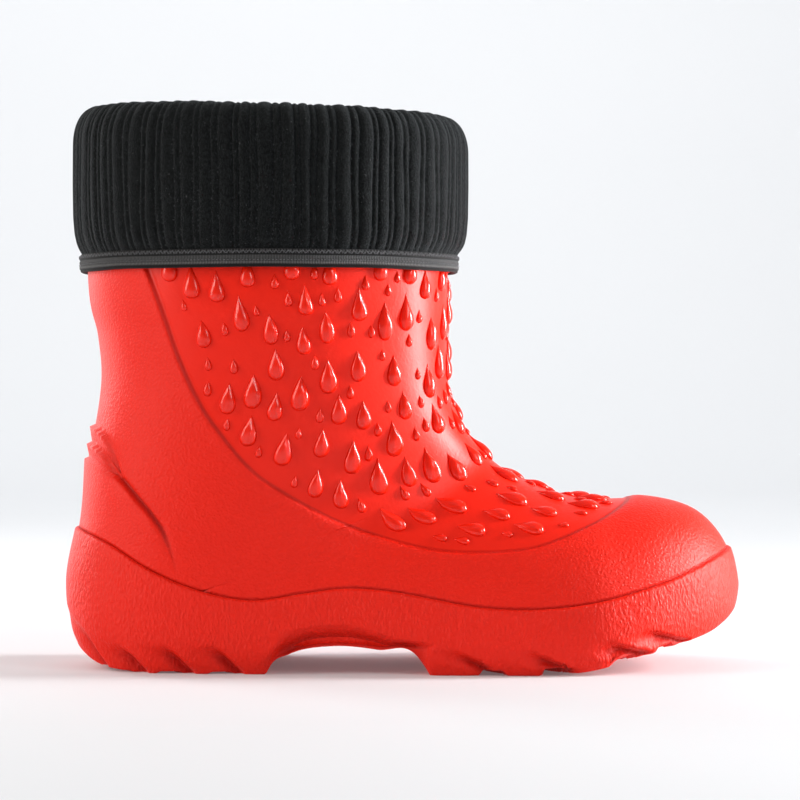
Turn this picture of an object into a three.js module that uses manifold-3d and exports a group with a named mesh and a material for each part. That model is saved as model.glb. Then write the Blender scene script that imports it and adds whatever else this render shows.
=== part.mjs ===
// Child's foam rain boot for the right foot, with a removable sewn liner whose ribbed cuff turns down over
// the rim. Millimetres, +Z up, toe along +X, medial side along +Y; the origin is on the ground, mid-boot.
import * as THREE from "three";
import { mergeVertices } from "three/addons/utils/BufferGeometryUtils.js";
import Module from "manifold-3d";

const wasm = await Module();
wasm.setup();

// ---------------------------------------------------------------- driving dimensions
const LENGTH = 212; // sole band, heel to toe
const RIM_HEIGHT = 166; // top edge of the foam shaft
const SHAFT_HALF_WIDTH = 43.5; // outside of the shaft, across
const BALL_HALF_WIDTH = 41.3; // outside of the upper at the ball of the foot, across

const CLEARANCE = 0.3; // gap between pieces that touch
const SHAFT_WALL = 5.2; // foam wall of the upper above the sole band
const BAND_PROUD = 1.3; // how far the sole band stands out from the upper
const TUCK = 2.4; // how far the upper steps in where it goes down into the sole
const SOLE_BASE = 9; // ground to the underside of the upper, at the heel
const UPPER_FLOOR = 2.5; // foam floor of the upper
const GROOVE_DEPTH = 4; // tread grooves
const GROOVE_WIDTH = 6.5;

const LINER_GAP = 0.4; // between the foam wall and the liner
const LINER_WALL = 3.5; // padded foot part of the liner
const LINER_SOLE = 3; // felt sole of the liner
const LEG_WALL = 2.4; // stretch knit leg of the liner
const SEAM_WIDTH = 1.6; // overlocked seams
const LINER_ANKLE = 78; // height of the seam from foot part to leg
const INSOLE_FOAM = 3;
const INSOLE_COVER = 1.5;

const CUFF_HEIGHT = 50; // turned-down cuff, fold to hem
const CUFF_THICKNESS = 4; // ribbed velour
const CUFF_SLACK = 0.7; // air between the shaft and the cuff
const CUFF_BULGE = 0.7; // extra fullness of the cuff under its fold
const CUFF_TURN_IN = 11; // how far the cuff goes down inside the rim, to the seam with the leg
const FOLD_AIR = 2.5; // how far the fold stands up off the rim
const HEM_THICKNESS = 0.8; // the velour where the binding grips it
const HEM_SLACK = 0.4; // air between the shaft and the binding
const BINDING_HEIGHT = 5.5;
const BINDING_TAPE = 0.5;
const ELASTIC_HEIGHT = 1.1;
const STITCH = 0.5; // thread rows on the binding

// ---------------------------------------------------------------- resolution
const STEPS_PER_STATION = 2; // rings between two stations
const ARC_STEPS = 5; // points on each quarter of a ring

// ---------------------------------------------------------------- outside of the upper, a fan of sections
// Each station is one cut through the boot, from its front or top point to its back or bottom point in side
// view. half: half width; shift: how far its middle lies to the medial side; widest: where along the cut it
// is widest; top, base: roundness of the halves before and after that (2 is an ellipse, more is squarer).
const BASE_LENGTH = 212; // the length and the rim height that the stations are drawn for
const BASE_RIM = 166;
const BASE_ANKLE = 88; // below this height a taller shaft changes nothing
const SHAFT = SHAFT_HALF_WIDTH;
const BALL = BALL_HALF_WIDTH;
function station(front, back, half, shift, widest, top, base) {
  return { front, back, half, shift, widest, top, base };
}
const STATIONS = [
  station([14.3, 166], [-98.8, 166], SHAFT, 0, 0.5, 2.15, 2.15),
  station([14.3, 120], [-98.8, 120], SHAFT, 0, 0.5, 2.15, 2.15),
  station([14, 103], [-95.7, 103], SHAFT - 1.2, 0, 0.5, 2.15, 2.15),
  station([14.6, 88], [-94.8, 88], SHAFT - 3, 0, 0.5, 2.15, 2.15),
  station([18, 77.5], [-98.2, 66], SHAFT - 5, 0, 0.52, 2.15, 2.15),
  station([21.5, 71.8], [-101.3, 46], SHAFT - 6.6, 0, 0.55, 2.15, 2.2),
  station([24.5, 68.3], [-104.7, 26], SHAFT - 7.6, 0, 0.57, 2.15, 2.25),
  station([27.5, 65.2], [-101, 8], BALL - 6, 0, 0.58, 2.15, 2.6),
  station([30.5, 62.8], [-88, -4], BALL - 6.4, -0.3, 0.58, 2.15, 3.2),
  station([34, 60.6], [-62, -5], BALL - 6.2, -0.8, 0.58, 2.15, 3.8),
  station([38.5, 58.4], [-35, -5], BALL - 5.6, -1.2, 0.58, 2.15, 4),
  station([44, 56.2], [-6, -5], BALL - 3.9, -1.2, 0.59, 2.15, 4),
  station([50.6, 54.2], [24, -5], BALL - 1.3, -0.6, 0.6, 2.15, 4),
  station([57, 53.1], [46, -4.5], BALL, 0.6, 0.6, 2.2, 4),
  station([63.5, 52.7], [63.5, -3], BALL - 0.6, 1.6, 0.6, 2.2, 4),
  station([78.8, 52.5], [78.8, 2], BALL * 0.89, 3.6, 0.58, 2.2, 3.6),
  station([92.3, 48.2], [92.3, 6.5], BALL * 0.69, 5.4, 0.56, 2.2, 3),
  station([101.3, 38], [101.3, 13.5], BALL * 0.37, 6.5, 0.53, 2.1, 2.4),
  station([104.5, 25], [104.5, 25], 0, 7, 0.5, 2, 2),
];
const TOE_START = 14; // station from which the toe closes in

const alongFoot = (x) => (x * LENGTH) / BASE_LENGTH;
const SHAFT_STRETCH = (RIM_HEIGHT - BASE_ANKLE) / (BASE_RIM - BASE_ANKLE);
const upShaft = (z) => (z <= BASE_ANKLE ? z : BASE_ANKLE + (z - BASE_ANKLE) * SHAFT_STRETCH);

// Value of a smooth curve through the stations' values. It runs on straight above the rim, and mirrors
// itself past the toe, so that the toe is round: a value that ends at 0 changes sign there.
function smoothValue(read, t) {
  const last = STATIONS.length - 1;
  const i = Math.min(Math.floor(t), last - 1);
  const aboveRim = 2 * read(0) - read(1);
  const pastToe = read(last) === 0 ? -read(last - 1) : read(last - 1);
  const at = (k) => (k < 0 ? aboveRim : k > last ? pastToe : read(k));
  const [a, b, c, d] = [at(i - 1), at(i), at(i + 1), at(i + 2)];
  const f = t - i;
  return b + 0.5 * f * (c - a + f * (2 * a - 5 * b + 4 * c - d + f * (3 * (b - c) + d - a)));
}

const frontPoint = (t) =>
  new THREE.Vector2(
    smoothValue((k) => alongFoot(STATIONS[k].front[0]), t),
    smoothValue((k) => upShaft(STATIONS[k].front[1]), t),
  );
const backPoint = (t) =>
  new THREE.Vector2(
    smoothValue((k) => alongFoot(STATIONS[k].back[0]), t),
    smoothValue((k) => upShaft(STATIONS[k].back[1]), t),
  );

// The point at t on a side-view outline, moved square to the outline by a distance. side is 1 or -1.
function movedPoint(outline, t, distance, side) {
  const last = STATIONS.length - 1;
  const step = 0.02;
  const point = outline(t);
  if (t >= last) return point.add(new THREE.Vector2(-distance, 0));
  const along = outline(Math.min(t + step, last)).sub(outline(Math.max(t - step, 0))).normalize();
  return point.add(new THREE.Vector2(along.y, -along.x).multiplyScalar(side * distance));
}

// Closed ring of points where the cut at t meets the boot's outside, inset by a distance.
function ringAt(t, inset) {
  const front = movedPoint(frontPoint, t, inset, 1);
  const back = movedPoint(backPoint, t, inset, -1);
  const value = (name) => smoothValue((k) => STATIONS[k][name], t);
  const full = value("half");
  const half = t <= TOE_START ? full - inset : full * (1 - inset / STATIONS[TOE_START].half);
  const [shift, widest, top, base] = ["shift", "widest", "top", "base"].map(value);
  const quarter = [];
  for (let i = 0; i <= ARC_STEPS; i++) {
    const a = ((i / ARC_STEPS) * Math.PI) / 2;
    quarter.push([widest * (1 - Math.cos(a) ** (2 / top)), half * Math.sin(a) ** (2 / top)]);
  }
  for (let i = ARC_STEPS - 1; i >= 0; i--) {
    const a = ((i / ARC_STEPS) * Math.PI) / 2;
    quarter.push([1 - (1 - widest) * (1 - Math.cos(a) ** (2 / base)), half * Math.sin(a) ** (2 / base)]);
  }
  const place = ([u, v], side) => {
    const p = front.clone().lerp(back, u);
    return new THREE.Vector3(p.x, shift + side * v, p.y);
  };
  const lateral = quarter.map((q) => place(q, -1));
  const medial = quarter.slice(1, -1).map((q) => place(q, 1));
  return [...lateral, ...medial.reverse()];
}

// ---------------------------------------------------------------- solids
// A three.js geometry as a manifold-3d solid.
function solidOf(geometry) {
  const bare = geometry.index ? geometry.toNonIndexed() : geometry.clone();
  for (const name of ["normal", "uv"]) bare.deleteAttribute(name);
  const merged = mergeVertices(bare, 1e-4);
  const mesh = new wasm.Mesh({
    numProp: 3,
    vertProperties: merged.attributes.position.array,
    triVerts: new Uint32Array(merged.index.array),
  });
  return new wasm.Manifold(mesh);
}

// A manifold-3d solid as a three.js geometry.
function geometryOf(solid) {
  const mesh = solid.getMesh();
  const places = new Float32Array(mesh.numVert * 3);
  for (let i = 0; i < mesh.numVert; i++) {
    places.set(mesh.vertProperties.subarray(i * mesh.numProp, i * mesh.numProp + 3), i * 3);
  }
  const geometry = new THREE.BufferGeometry();
  geometry.setAttribute("position", new THREE.BufferAttribute(places, 3));
  geometry.setIndex(new THREE.BufferAttribute(mesh.triVerts, 1));
  geometry.computeVertexNormals();
  return geometry;
}

// A closed skin over rings of equal length, with a flat fan over the first and the last.
function skinOver(rings) {
  const places = rings.flat().flatMap((p) => [p.x, p.y, p.z]);
  const count = rings[0].length;
  const index = [];
  for (let r = 0; r + 1 < rings.length; r++) {
    for (let i = 0; i < count; i++) {
      const [a, b] = [r * count + i, r * count + ((i + 1) % count)];
      index.push(a, b, b + count, a, b + count, a + count);
    }
  }
  const lastRing = (rings.length - 1) * count;
  for (let i = 1; i + 1 < count; i++) {
    index.push(0, i + 1, i);
    index.push(lastRing, lastRing + i, lastRing + i + 1);
  }
  const geometry = new THREE.BufferGeometry();
  geometry.setAttribute("position", new THREE.Float32BufferAttribute(places, 3));
  geometry.setIndex(index);
  return geometry;
}

// The boot's outside, inset by a distance, as a solid that runs on above the rim by a height.
function bootBody(inset, above = 0) {
  const rings = [];
  const last = STATIONS.length - 1;
  const raised = ringAt(0, inset);
  raised.forEach((p) => (p.z += above));
  if (above > 0) rings.push(raised);
  for (let step = 0; step <= last * STEPS_PER_STATION; step++) {
    rings.push(ringAt(step / STEPS_PER_STATION, inset));
  }
  return solidOf(skinOver(rings));
}

// Everything inside a side-view outline, right across the boot.
const REACH = 400;
function acrossBoot(outline) {
  const shape = new THREE.Shape(outline.map(([x, z]) => new THREE.Vector2(x, z)));
  const geometry = new THREE.ExtrudeGeometry(shape, { depth: REACH, bevelEnabled: false });
  return solidOf(geometry.rotateX(Math.PI / 2).translate(0, REACH / 2, 0));
}

const curveThrough = (points, count) =>
  new THREE.SplineCurve(points.map(([x, z]) => new THREE.Vector2(alongFoot(x), z)))
    .getPoints(count)
    .map((p) => [p.x, p.y]);
const raisedBy = (line, height) => line.map(([x, z]) => [x, z + height]);
const wideLine = (line) => [[-REACH, line[0][1]], ...line, [REACH, line.at(-1)[1]]];
const aboveLine = (line) => acrossBoot([...wideLine(line), [REACH, REACH], [-REACH, REACH]]);
const belowLine = (line) => acrossBoot([[-REACH, -REACH], [REACH, -REACH], ...wideLine(line).toReversed()]);
const betweenLines = (low, high) => aboveLine(low).intersect(belowLine(high));
const level = (z) => [[-REACH / 2, z], [REACH / 2, z]];

// ---------------------------------------------------------------- side-view lines
// Top edge of the sole band: high at the heel and toe, with a wave at the waist.
const HEEL_SWEEP = [[-109, 45.5], [-101.5, 43.5], [-90, 39], [-77.8, 31.9], [-63, 25.8], [-45, 22.6]];
const WAIST_SWEEP = [[-18.5, 26.2], [9.2, 23.1], [32, 20.2]];
const TOE_SWEEP = [[57.4, 22.1], [80.9, 28.5], [97.3, 35.3], [109, 40]];
const BAND_LINE = curveThrough([...HEEL_SWEEP, ...WAIST_SWEEP, ...TOE_SWEEP], 24);
// Underside: rounded up at the heel, flat on the ground, then the toe spring.
const HEEL_ROUND = curveThrough([[-109, 15], [-102.5, 7.5], [-96, 2.6], [-86, 0]], 8);
const TOE_CURVE = [[41, 0], [55, 1.2], [71, 5.2], [88, 9.8], [97, 13.1], [104, 18.5], [109, 26]];
const TOE_SPRING = curveThrough(TOE_CURVE, 12);
const GROUND_LINE = [...HEEL_ROUND, ...TOE_SPRING];
const ARCH_CURVE = [[-43.5, -4], [-40.5, 2.6], [-35, 6], [-22, 8.6], [-8, 7.6], [4.5, 5], [9.5, -4]];
const ARCH = curveThrough(ARCH_CURVE, 12);
// A floor inside the boot: flat under heel and arch, rising a little to the toe.
const FLOOR_CURVE = [[-120, 0], [10, 0], [35, 0], [55, 0.8], [75, 3.5], [90, 7], [112, 12]];
const FLOOR_RISE = curveThrough(FLOOR_CURVE, 10);
const floorAt = (height) => raisedBy(FLOOR_RISE, height);

const TUCK_FLOOR = SOLE_BASE;
const SHELL_FLOOR = TUCK_FLOOR + UPPER_FLOOR;
const LINER_FLOOR = SHELL_FLOOR + LINER_GAP;
const LINER_INSET = SHAFT_WALL + LINER_GAP;
const LINER_TOP = LINER_FLOOR + LINER_SOLE;

// ---------------------------------------------------------------- foam shell
function upperShell() {
  const visible = bootBody(0).intersect(aboveLine(raisedBy(BAND_LINE, CLEARANCE)));
  const tucked = bootBody(TUCK).intersect(aboveLine(floorAt(TUCK_FLOOR)));
  const hollow = bootBody(SHAFT_WALL, 20).intersect(aboveLine(floorAt(SHELL_FLOOR)));
  return visible.add(tucked).subtract(hollow);
}

// ---------------------------------------------------------------- foam sole
const GROOVE_WAVE = 36; // one full wave of a groove, across the boot
const GROOVE_SWING = 3; // how far a groove swings to each side
const GROOVE_REACH = 1.5 * GROOVE_WAVE;
const GROOVE_START = 5; // a groove's cut starts this far under the ground
const HEEL_GROOVES = [-86, -72.5, -57.5];
const BALL_GROOVES = [24, 42.5];
const TOE_GROOVES = [63.5, 78];

// One wavy groove across the tread, cut upwards from the ground.
function treadGroove(x) {
  const edge = (side) => {
    const points = [];
    for (let y = -GROOVE_REACH; y <= GROOVE_REACH; y += GROOVE_WAVE / 4) {
      const wave = GROOVE_SWING * Math.cos((2 * Math.PI * y) / GROOVE_WAVE);
      points.push(new THREE.Vector2(alongFoot(x) + wave + (side * GROOVE_WIDTH) / 2, y));
    }
    return points;
  };
  const shape = new THREE.Shape([...edge(1), ...edge(-1).reverse()]);
  const cut = { depth: GROOVE_DEPTH + GROOVE_START, bevelEnabled: false };
  return solidOf(new THREE.ExtrudeGeometry(shape, cut).translate(0, 0, -GROOVE_START));
}

// Height of the underside at a groove in the toe spring.
const groundAt = (x) => TOE_SPRING.find(([at]) => at >= alongFoot(x))[1];

function soleUnit() {
  const block = bootBody(-BAND_PROUD).intersect(betweenLines(GROUND_LINE, BAND_LINE));
  const seat = bootBody(TUCK - CLEARANCE).intersect(aboveLine(floorAt(TUCK_FLOOR - CLEARANCE)));
  let sole = block.subtract(seat).subtract(acrossBoot(ARCH));
  for (const x of [...HEEL_GROOVES, ...BALL_GROOVES]) sole = sole.subtract(treadGroove(x));
  for (const x of TOE_GROOVES) sole = sole.subtract(treadGroove(x).translate([0, 0, groundAt(x) - 1]));
  return sole;
}

// ---------------------------------------------------------------- liner, foot part
const footSkin = () => bootBody(LINER_INSET).subtract(bootBody(LINER_INSET + LINER_WALL, 20));
const SEAM_STEP = SEAM_WIDTH + 2 * CLEARANCE;
const SIDE_BASE = LINER_TOP + CLEARANCE + SEAM_STEP; // lower edge of the side panels
const footRange = () => betweenLines(floorAt(SIDE_BASE), level(LINER_ANKLE));
const sideSlab = (inner, side) =>
  solidOf(new THREE.BoxGeometry(2 * REACH, REACH, 2 * REACH).translate(0, side * (inner + REACH / 2), 0));
const middleSlab = () => solidOf(new THREE.BoxGeometry(2 * REACH, SEAM_WIDTH, 2 * REACH));

const PANEL_EDGE = SEAM_WIDTH / 2 + CLEARANCE;
const sidePanel = (side) => footSkin().intersect(footRange()).intersect(sideSlab(PANEL_EDGE, side));
const layer = (low, thickness) => betweenLines(floorAt(low), floorAt(low + thickness));
const linerSole = () => bootBody(LINER_INSET).intersect(layer(LINER_FLOOR, LINER_SOLE));
const soleSeam = () => footSkin().intersect(layer(LINER_TOP + CLEARANCE, SEAM_WIDTH));

// The seams up the heel and over the instep are what the middle slab cuts from the skin. Everything behind
// a slanting line through the hollow foot belongs to the heel seam.
const SEAM_PARTING = [[alongFoot(-60), -REACH], [alongFoot(-40), REACH], [-REACH, REACH], [-REACH, -REACH]];
const middleSeam = () => footSkin().intersect(footRange()).intersect(middleSlab());
const heelSeam = () => middleSeam().intersect(acrossBoot(SEAM_PARTING));
const instepSeam = () => middleSeam().subtract(acrossBoot(SEAM_PARTING));

// ---------------------------------------------------------------- insole, on the felt sole inside the seam
const INSOLE_INSET = LINER_INSET + LINER_WALL + CLEARANCE;
const insoleLayer = (low, thickness) => bootBody(INSOLE_INSET).intersect(layer(low, thickness));
const FOAM_BASE = LINER_TOP + CLEARANCE;
const COVER_BASE = FOAM_BASE + INSOLE_FOAM + CLEARANCE;

// ---------------------------------------------------------------- liner, leg part
const ANKLE_SEAM_BASE = LINER_ANKLE + CLEARANCE;
const LEG_BASE = ANKLE_SEAM_BASE + SEAM_WIDTH + CLEARANCE;
const CUFF_SEAM_TOP = RIM_HEIGHT - CUFF_TURN_IN;
const LEG_TOP = CUFF_SEAM_TOP - SEAM_WIDTH - CLEARANCE;
const legSkin = () => bootBody(LINER_INSET).subtract(bootBody(LINER_INSET + LEG_WALL, 20));
const ankleSeam = () =>
  footSkin().intersect(betweenLines(level(ANKLE_SEAM_BASE), level(ANKLE_SEAM_BASE + SEAM_WIDTH)));
const linerLeg = () => legSkin().intersect(betweenLines(level(LEG_BASE), level(LEG_TOP)));

// ---------------------------------------------------------------- cuff and hem, swept round the shaft
// A profile is a closed list of [outset from the shaft, height] points. It goes round the rim's outline.
function hoop(profile) {
  const rings = profile.map(([outset, z]) => ringAt(0, -outset).map((p) => new THREE.Vector3(p.x, p.y, z)));
  const count = rings[0].length;
  const places = rings.flat().flatMap((p) => [p.x, p.y, p.z]);
  const index = [];
  for (let r = 0; r < rings.length; r++) {
    const next = (r + 1) % rings.length;
    for (let i = 0; i < count; i++) {
      const j = (i + 1) % count;
      const [a, b, c, d] = [r * count + i, r * count + j, next * count + j, next * count + i];
      index.push(a, c, b, a, d, c);
    }
  }
  const geometry = new THREE.BufferGeometry();
  geometry.setAttribute("position", new THREE.Float32BufferAttribute(places, 3));
  geometry.setIndex(index);
  return solidOf(geometry);
}
const band = (inner, outer, low, high) => hoop([[inner, low], [outer, low], [outer, high], [inner, high]]);

const CUFF_INNER = -LINER_INSET; // face of the cuff against the inside of the foam wall
const CUFF_OUTER = CUFF_SLACK; // face of the cuff against the outside of the foam wall
const FOLD_BASE = RIM_HEIGHT + CLEARANCE;
const FOLD_TOP = FOLD_BASE + CUFF_THICKNESS + FOLD_AIR;
const HEM = FOLD_TOP - CUFF_HEIGHT;
const BINDING_TOP = HEM + BINDING_HEIGHT;
const BINDING_INNER = HEM_SLACK;
const GRIP_INNER = BINDING_INNER + BINDING_TAPE + CLEARANCE; // inner face of the velour in the binding
const GRIP_FACE = GRIP_INNER + HEM_THICKNESS;
const GRIP_BASE = HEM + BINDING_TAPE + ELASTIC_HEIGHT + 2 * CLEARANCE; // cut edge of the velour
const GRIP_TOP = BINDING_TOP + CLEARANCE;
const BINDING_FACE = GRIP_FACE + CLEARANCE + BINDING_TAPE;
const CUFF_FACE = CUFF_OUTER + CUFF_THICKNESS;
const PILE_FACE = CUFF_INNER - CUFF_THICKNESS; // the cuff's soft face inside the boot
const CUFF_SWELL = 6; // height over which the cuff fills out above its hem
const FOLD_OUTSIDE = { across: 7, down: 11 }; // rounding of the fold on each side
const FOLD_INSIDE = { across: 4, down: 6 };
const FOLD_STEPS = 3;

// A quarter of an ellipse from a face of the cuff up to the top of its fold: side is 1 outside, -1 inside.
const foldCorner = (face, { across, down }, side) =>
  Array.from({ length: FOLD_STEPS + 1 }, (_, i) => {
    const a = ((i / FOLD_STEPS) * Math.PI) / 2;
    return [face - side * across * (1 - Math.cos(a)), FOLD_TOP - down * (1 - Math.sin(a))];
  });

const cuff = () =>
  hoop([
    [CUFF_INNER, CUFF_SEAM_TOP + CLEARANCE],
    [CUFF_INNER, FOLD_BASE],
    [CUFF_OUTER, FOLD_BASE],
    [CUFF_OUTER, GRIP_TOP + HEM_THICKNESS],
    [GRIP_INNER, GRIP_TOP],
    [GRIP_INNER, GRIP_BASE],
    [GRIP_FACE, GRIP_BASE],
    [GRIP_FACE, GRIP_TOP],
    [CUFF_FACE, GRIP_TOP + CUFF_SWELL],
    ...foldCorner(CUFF_FACE + CUFF_BULGE, FOLD_OUTSIDE, 1),
    ...foldCorner(PILE_FACE, FOLD_INSIDE, -1).reverse(),
    [CUFF_INNER - LEG_WALL, CUFF_SEAM_TOP + CLEARANCE],
  ]);
const cuffSeam = () => band(CUFF_INNER - LEG_WALL, CUFF_INNER, CUFF_SEAM_TOP - SEAM_WIDTH, CUFF_SEAM_TOP);

const hemBinding = () =>
  hoop([
    [BINDING_INNER, HEM],
    [BINDING_FACE, HEM],
    [BINDING_FACE, BINDING_TOP],
    [BINDING_FACE - BINDING_TAPE, BINDING_TOP],
    [BINDING_FACE - BINDING_TAPE, HEM + BINDING_TAPE],
    [BINDING_INNER + BINDING_TAPE, HEM + BINDING_TAPE],
    [BINDING_INNER + BINDING_TAPE, BINDING_TOP],
    [BINDING_INNER, BINDING_TOP],
  ]);
const hemElastic = () =>
  band(
    BINDING_INNER + BINDING_TAPE + CLEARANCE,
    BINDING_FACE - BINDING_TAPE - CLEARANCE,
    HEM + BINDING_TAPE + CLEARANCE,
    HEM + BINDING_TAPE + CLEARANCE + ELASTIC_HEIGHT,
  );
const STITCH_INNER = BINDING_FACE + CLEARANCE;
const hemStitch = (z) => band(STITCH_INNER, STITCH_INNER + STITCH, z - STITCH / 2, z + STITCH / 2);

// ---------------------------------------------------------------- materials
const finish = (color, roughness) => new THREE.MeshStandardMaterial({ color, roughness, metalness: 0 });
const redFoam = finish("#e3261a", 0.42);
const blackVelour = finish("#0b0d0d", 0.95);
const greyTape = finish("#34343a", 0.6);
const greyThread = finish("#6d6d74", 0.7);
const charcoalPile = finish("#1c1e20", 0.95);
const greyFelt = finish("#55565a", 0.95);
const greyFoam = finish("#3d3f43", 0.8);
const paleRubber = finish("#d9d5c8", 0.7);

// ---------------------------------------------------------------- assembly
const boot = new THREE.Group();
function addPart(name, solid, material) {
  const mesh = new THREE.Mesh(geometryOf(solid), material);
  mesh.name = name;
  boot.add(mesh);
}

addPart("upper_shell", upperShell(), redFoam);
addPart("sole_unit", soleUnit(), redFoam);
addPart("liner_lateral_panel", sidePanel(-1), charcoalPile);
addPart("liner_medial_panel", sidePanel(1), charcoalPile);
addPart("liner_felt_sole", linerSole(), greyFelt);
addPart("liner_sole_seam", soleSeam(), greyThread);
addPart("liner_heel_seam", heelSeam(), greyThread);
addPart("liner_instep_seam", instepSeam(), greyThread);
addPart("liner_ankle_seam", ankleSeam(), greyThread);
addPart("liner_leg", linerLeg(), charcoalPile);
addPart("insole_foam", insoleLayer(FOAM_BASE, INSOLE_FOAM), greyFoam);
addPart("insole_cover", insoleLayer(COVER_BASE, INSOLE_COVER), greyFelt);
addPart("cuff", cuff(), blackVelour);
addPart("cuff_seam", cuffSeam(), greyThread);
addPart("hem_binding", hemBinding(), greyTape);
addPart("hem_elastic", hemElastic(), paleRubber);
addPart("hem_stitch_upper", hemStitch(BINDING_TOP - 1), greyThread);
addPart("hem_stitch_lower", hemStitch(BINDING_TOP - 3), greyThread);

export default boot;
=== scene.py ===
"""Looks of the child's rain boot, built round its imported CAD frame.

Design sizes are in millimetres in the row frame (+X toe, +Y medial, +Z up) and become metres where a mesh is
made. The boot's outside is a fan of cross-sections that swings from the level rim round to the toe; every
piece is a dense grid of points laid on that surface, or inset from it.
"""

import math

import bmesh
import bpy
import numpy as np
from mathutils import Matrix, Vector


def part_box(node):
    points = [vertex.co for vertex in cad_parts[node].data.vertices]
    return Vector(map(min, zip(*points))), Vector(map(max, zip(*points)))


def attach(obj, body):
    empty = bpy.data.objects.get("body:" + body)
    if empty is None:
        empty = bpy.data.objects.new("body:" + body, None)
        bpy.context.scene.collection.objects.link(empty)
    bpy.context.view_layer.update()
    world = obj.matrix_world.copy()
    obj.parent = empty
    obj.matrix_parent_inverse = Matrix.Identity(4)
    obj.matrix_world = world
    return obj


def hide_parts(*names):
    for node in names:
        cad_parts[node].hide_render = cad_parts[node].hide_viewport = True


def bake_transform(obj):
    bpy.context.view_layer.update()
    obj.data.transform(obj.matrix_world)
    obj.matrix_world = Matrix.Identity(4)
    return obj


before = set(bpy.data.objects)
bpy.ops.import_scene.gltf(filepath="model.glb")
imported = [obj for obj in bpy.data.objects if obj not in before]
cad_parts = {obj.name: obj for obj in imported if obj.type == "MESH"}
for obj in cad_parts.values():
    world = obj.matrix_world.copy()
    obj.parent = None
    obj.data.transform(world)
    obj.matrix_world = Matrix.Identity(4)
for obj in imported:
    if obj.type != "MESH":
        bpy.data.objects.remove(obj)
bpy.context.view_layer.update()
MM = 0.001


def node_box(name):
    """Lowest and highest corner of a CAD node, in millimetres."""
    return [np.array(corner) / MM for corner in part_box(name)]


def unit(vectors, tiny=1e-9):
    """Vectors brought to length 1."""
    return vectors / (np.linalg.norm(vectors, axis=-1, keepdims=True) + tiny)


def distances(path):
    """Distance along a path of each of its points."""
    return np.concatenate([[0], np.cumsum(np.linalg.norm(np.diff(path, axis=0), axis=1))])


def along_path(goal, place, path):
    """Points at the distances goal along a path whose own points lie at the distances place."""
    return np.stack([np.interp(goal, place, column) for column in np.asarray(path).T], -1)


# ------------------------------------------------------------------ sizes from the frame
UPPER = node_box("upper_shell")
SOLE = node_box("sole_unit")
CUFF = node_box("cuff")
BINDING = node_box("hem_binding")
ELASTIC = node_box("hem_elastic")
CUFF_SEAM = node_box("cuff_seam")
LEG = node_box("liner_leg")
ANKLE_SEAM = node_box("liner_ankle_seam")
FELT = node_box("liner_felt_sole")
FOAM = node_box("insole_foam")
COVER = node_box("insole_cover")

RIM = UPPER[1][2]
SHAFT = UPPER[1][1]  # half width of the shaft
BALL = 41.3  # half width of the upper at the ball of the foot
FOOT_SCALE = (SOLE[1][0] - SOLE[0][0]) / 211.8  # the stations are drawn for a sole 211.8 long
SHAFT_WALL = 5.2
BAND_PROUD = 1.3
TUCK = 2.4
LINER_INSET = 5.6  # outside of the liner, inside the foam wall
LINER_WALL = 3.5
LEG_WALL = 2.4
FELT_THICK = 3.0
FLOOR_TUCK = 9.0  # underside of the upper, in the sole
FLOOR_SHELL = 11.5

# ------------------------------------------------------------------ outside of the boot
# front x, z and back x, z of each cut in side view; half width; shift to the medial side; widest place along
# the cut; roundness of the cut's front and back halves.
STATIONS = np.array(
    [
        [14.3, RIM, -98.8, RIM, SHAFT, 0, 0.5, 2.15, 2.15],
        [14.3, 120, -98.8, 120, SHAFT, 0, 0.5, 2.15, 2.15],
        [14, 103, -95.7, 103, SHAFT - 1.2, 0, 0.5, 2.15, 2.15],
        [14.6, 88, -94.8, 88, SHAFT - 3, 0, 0.5, 2.15, 2.15],
        [18, 77.5, -98.2, 66, SHAFT - 5, 0, 0.52, 2.15, 2.15],
        [21.5, 71.8, -101.3, 46, SHAFT - 6.6, 0, 0.55, 2.15, 2.2],
        [24.5, 68.3, -104.7, 26, SHAFT - 7.6, 0, 0.57, 2.15, 2.25],
        [27.5, 65.2, -101, 8, BALL - 6, 0, 0.58, 2.15, 2.6],
        [30.5, 62.8, -88, -4, BALL - 6.4, -0.3, 0.58, 2.15, 3.2],
        [34, 60.6, -62, -5, BALL - 6.2, -0.8, 0.58, 2.15, 3.8],
        [38.5, 58.4, -35, -5, BALL - 5.6, -1.2, 0.58, 2.15, 4],
        [44, 56.2, -6, -5, BALL - 3.9, -1.2, 0.59, 2.15, 4],
        [50.6, 54.2, 24, -5, BALL - 1.3, -0.6, 0.6, 2.15, 4],
        [57, 53.1, 46, -4.5, BALL, 0.6, 0.6, 2.2, 4],
        [63.5, 52.7, 63.5, -3, BALL - 0.6, 1.6, 0.6, 2.2, 4],
        [78.8, 52.5, 78.8, 2, BALL * 0.89, 3.6, 0.58, 2.2, 3.6],
        [92.3, 48.2, 92.3, 6.5, BALL * 0.69, 5.4, 0.56, 2.2, 3],
        [101.3, 38, 101.3, 13.5, BALL * 0.37, 6.5, 0.53, 2.1, 2.4],
        [104.5, 25, 104.5, 25, 0, 7, 0.5, 2, 2],
    ]
)
STATIONS[:, [0, 2]] *= FOOT_SCALE
LAST = len(STATIONS) - 1
TOE_START = 14  # station from which the toe closes in
HALF_WIDTH, SHIFT, WIDEST, ROUND_FRONT, ROUND_BACK = range(4, 9)  # columns of STATIONS
ABOVE_RIM = 2 * STATIONS[0] - STATIONS[1]
PAST_TOE = STATIONS[-2] * np.where(np.arange(9) == HALF_WIDTH, -1, 1)
PADDED = np.vstack([ABOVE_RIM, STATIONS, PAST_TOE])


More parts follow.
